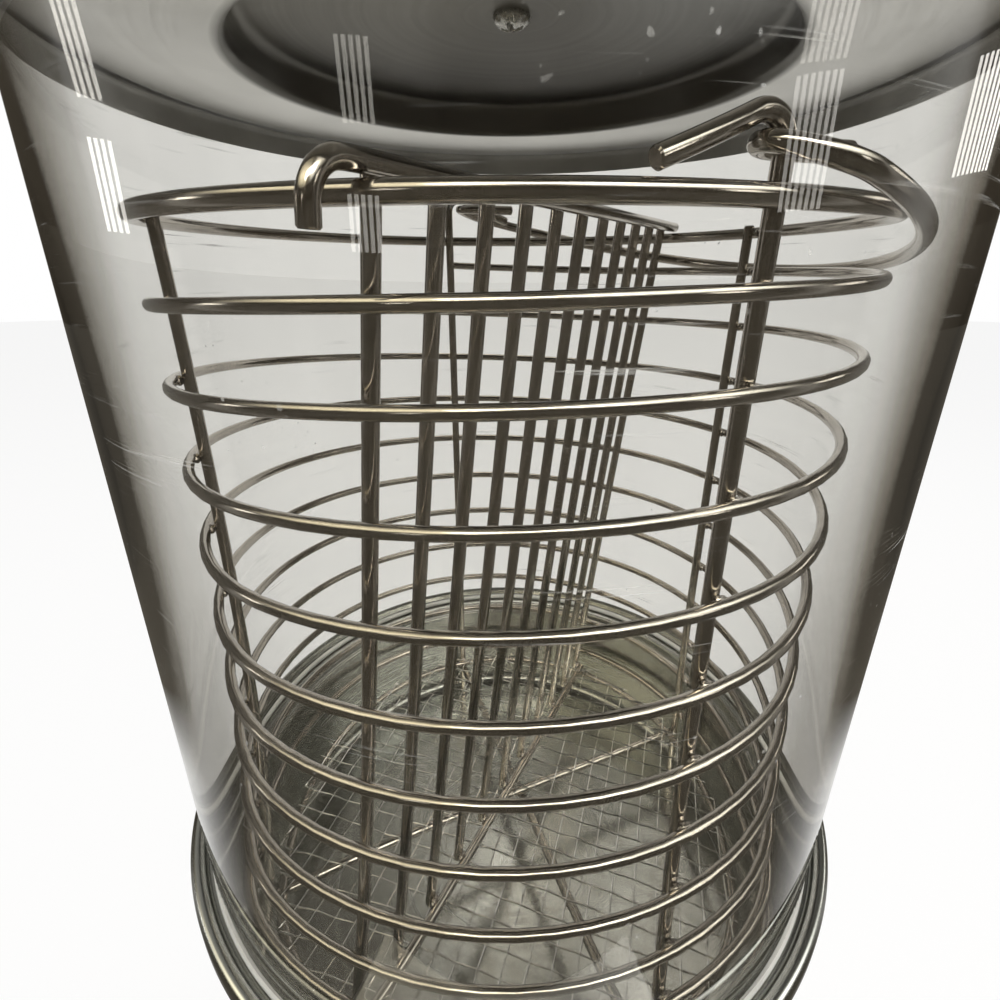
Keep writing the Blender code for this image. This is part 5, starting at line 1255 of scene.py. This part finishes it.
def build_camera():
    """The camera just outside the glass, looking a little down."""
    data = bpy.data.cameras.new("camera")
    data.lens = CAMERA_LENS
    data.clip_start = 0.005
    item = bpy.data.objects.new("camera", data)
    item.location = (AXIS[0], AXIS[1] - CAMERA_BACK, CAMERA_HEIGHT)
    item.rotation_euler = (CAMERA_PITCH, 0.0, CAMERA_TURN)
    bpy.context.scene.collection.objects.link(item)
    bpy.context.scene.camera = item


def seen(finish):
    """Whether a ray shows the surroundings (from the camera, mirrored or through glass), and
    whether it was mirrored on its way."""
    path = finish.node("ShaderNodeLightPath", output="Is Camera Ray")
    outputs = path.socket.node.outputs
    either = path.result("MAXIMUM", path, Value(finish, outputs["Is Glossy Ray"]))
    shown = path.result("MAXIMUM", either, Value(finish, outputs["Is Transmission Ray"]))
    return shown, finish.spread(Value(finish, outputs["Glossy Depth"]), 0.0, 1.0)


def plan_share(finish, at):
    """A place's or direction's reach in plan, and its depth and its width to the right over that."""
    depth = finish.node("ShaderNodeSeparateXYZ", None, {0: at}, "Y")
    width = finish.node("ShaderNodeSeparateXYZ", None, {0: at}, "X")
    level = finish.node("ShaderNodeVectorMath", {"operation": "MULTIPLY"}, {0: at, 1: (1.0, 1.0, 0.0)})
    reach = finish.node("ShaderNodeVectorMath", {"operation": "LENGTH"}, {0: level}, "Value")
    return reach, depth / (reach + 0.001), width / (reach + 0.001)


def room_share(finish, depth, width):
    """How far a direction looks to the pale part of the room: 0 on the camera's side and in the
    two dark corners at the back, else 1."""
    back = finish.spread(depth, *ROOM_BACK)
    aside = width.result("ABSOLUTE", width)
    corner = finish.spread(aside, *ROOM_CORNER[0]) * finish.spread(aside, *ROOM_CORNER[1])
    return back, back * corner


def build_floor():
    """A wide pale floor that glows a little, and keeps the object's shadow."""
    turn = np.arange(96) / 96 * ROUND
    points, faces, uv = patch(polar(np.array(FLOOR_RINGS)[:, None], turn, 0.0), caps=(True, False))
    mesh = bpy.data.meshes.new("floor")
    mesh.from_pydata(points.tolist(), [], faces)
    item = bpy.data.objects.new("floor", mesh)
    bpy.context.scene.collection.objects.link(item)
    finish = material("pale_floor", {"Base Color": (0.9, 0.9, 0.895, 1.0), "Roughness": 0.7})
    shown, mirrored = seen(finish)
    reach, depth, width = plan_share(finish, finish.place())
    back, corner = room_share(finish, depth, width)
    pale = back - corner * finish.spread(reach, *ROOM_CORNER_REACH)
    room = finish.mix(pale, (*TABLE_DARK, 1.0), (*TABLE_PALE, 1.0))
    colour = finish.mix(mirrored, (1.0, 1.0, 1.0, 1.0), room)
    glow = finish.node("ShaderNodeEmission", None, {"Color": colour, "Strength": FLOOR_STRENGTH})
    surface = Value(finish, finish.shader.outputs["BSDF"])
    share = shown * (mirrored * (1.0 - FLOOR_GLOW) + FLOOR_GLOW)
    both = finish.node("ShaderNodeMixShader", None, {0: share, 1: surface, 2: glow})
    finish.feed(finish.tree.nodes["Material Output"].inputs["Surface"], both)
    mesh.materials.append(finish.owner)


def build_world():
    """A white surround. What metal and glass mirror of it is a room: pale at the back and the
    sides, darker overhead, and dark behind the camera but for one long band of skylight."""
    world = bpy.data.worlds.new("studio")
    bpy.context.scene.world = world
    finish = Finish(world)
    shown, mirrored = seen(finish)
    direction = finish.node("ShaderNodeTexCoord", output="Generated")
    height = finish.node("ShaderNodeSeparateXYZ", None, {0: direction}, "Z")
    across = finish.node("ShaderNodeSeparateXYZ", None, {0: direction}, "X")
    reach, depth, width = plan_share(finish, direction)
    back, corner = room_share(finish, depth, width)
    above = finish.mix(finish.spread(across, *ROOM_SIDES), (*ROOM_ABOVE_LEFT, 1.0), (*ROOM_ABOVE, 1.0))
    room = finish.mix(back - corner, (*ROOM_DARK, 1.0), (*ROOM_PALE, 1.0))
    room = finish.mix(finish.spread(height, *ROOM_CEILING), room, above)
    band = finish.spread(height, *SKYLIGHT_RISE) * finish.spread(height, *SKYLIGHT_FALL)
    sky = finish.mix(finish.spread(width, *SKYLIGHT_LEFT[0]), (*SKYLIGHT_MIDDLE, 1.0), (*SKYLIGHT_LEFT[1], 1.0))
    sky = finish.mix(finish.spread(width, *SKYLIGHT_RIGHT[0]), sky, (*SKYLIGHT_RIGHT[1], 1.0))
    room = finish.mix(band * (1.0 - back), room, sky)
    white = (1.0, 1.0, 1.0, 1.0)
    seen_colour = finish.mix(mirrored, white, room)
    ambient = (AMBIENT, AMBIENT, AMBIENT, 1.0)
    background = finish.tree.nodes["Background"]
    finish.feed(background.inputs["Color"], finish.mix(shown, ambient, seen_colour))


def softbox(name, bearing, rise, distance, size, watts, bars=1, mirrored=True):
    """An area lamp, or a window of upright bars of light, at a bearing in degrees from the
    front to the right, aimed at the basket. It can be one that metal and glass don't mirror."""
    angle, lift = math.radians(bearing), math.radians(rise)
    target = Vector((AXIS[0], AXIS[1], 0.25))
    away = Vector((math.sin(angle) * math.cos(lift), -math.cos(angle) * math.cos(lift), math.sin(lift)))
    across = Vector((math.cos(angle), math.sin(angle), 0.0))
    pitch = size[0] / bars
    for i in range(bars):
        data = bpy.data.lights.new(f"{name}_{i + 1}", "AREA")
        data.shape = "RECTANGLE"
        data.size = pitch * (BAR_SHARE if bars > 1 else 1.0)
        data.size_y = size[1]
        data.energy = watts / bars
        data.color = LAMP_COLOUR
        item = bpy.data.objects.new(data.name, data)
        item.location = target + away * distance + across * pitch * (i - (bars - 1) / 2)
        item.rotation_euler = away.to_track_quat("Z", "Y").to_euler()
        item.visible_glossy = mirrored
        item.visible_camera = False
        bpy.context.scene.collection.objects.link(item)


def build_lamps():
    """Large lamps above the camera and at the back, and four barred windows round the front."""
    softbox("key_box", 8.0, 42.0, 1.4, (1.2, 0.35), 9.0, mirrored=False)
    softbox("back_box", 165.0, 62.0, 1.5, (0.9, 0.6), 6.0, mirrored=False)
    softbox("left_window", -87.0, 11.0, 1.2, (0.16, 0.14), 0.25, 4)
    softbox("front_left_window", -29.0, 10.0, 1.2, (0.14, 0.10), 0.14, 5)
    softbox("front_right_window", 58.0, 15.0, 1.2, (0.20, 0.20), 0.35, 7)
    softbox("right_window", 103.0, 15.0, 1.2, (0.30, 0.16), 0.40, 9)


def main():
    """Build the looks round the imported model."""
    build_glass()
    build_well()
    build_lid()
    build_basket()
    build_woven_floor()
    build_divider()
    build_bail()
    build_housing()
    build_control_box()
    build_screws()
    build_feet()
    build_dial()
    build_switch()
    build_lamp()
    build_inlet()
    finish_kept_nodes()
    build_camera()
    build_floor()
    build_world()
    build_lamps()
    bpy.context.scene.view_settings.view_transform = "Standard"


main()
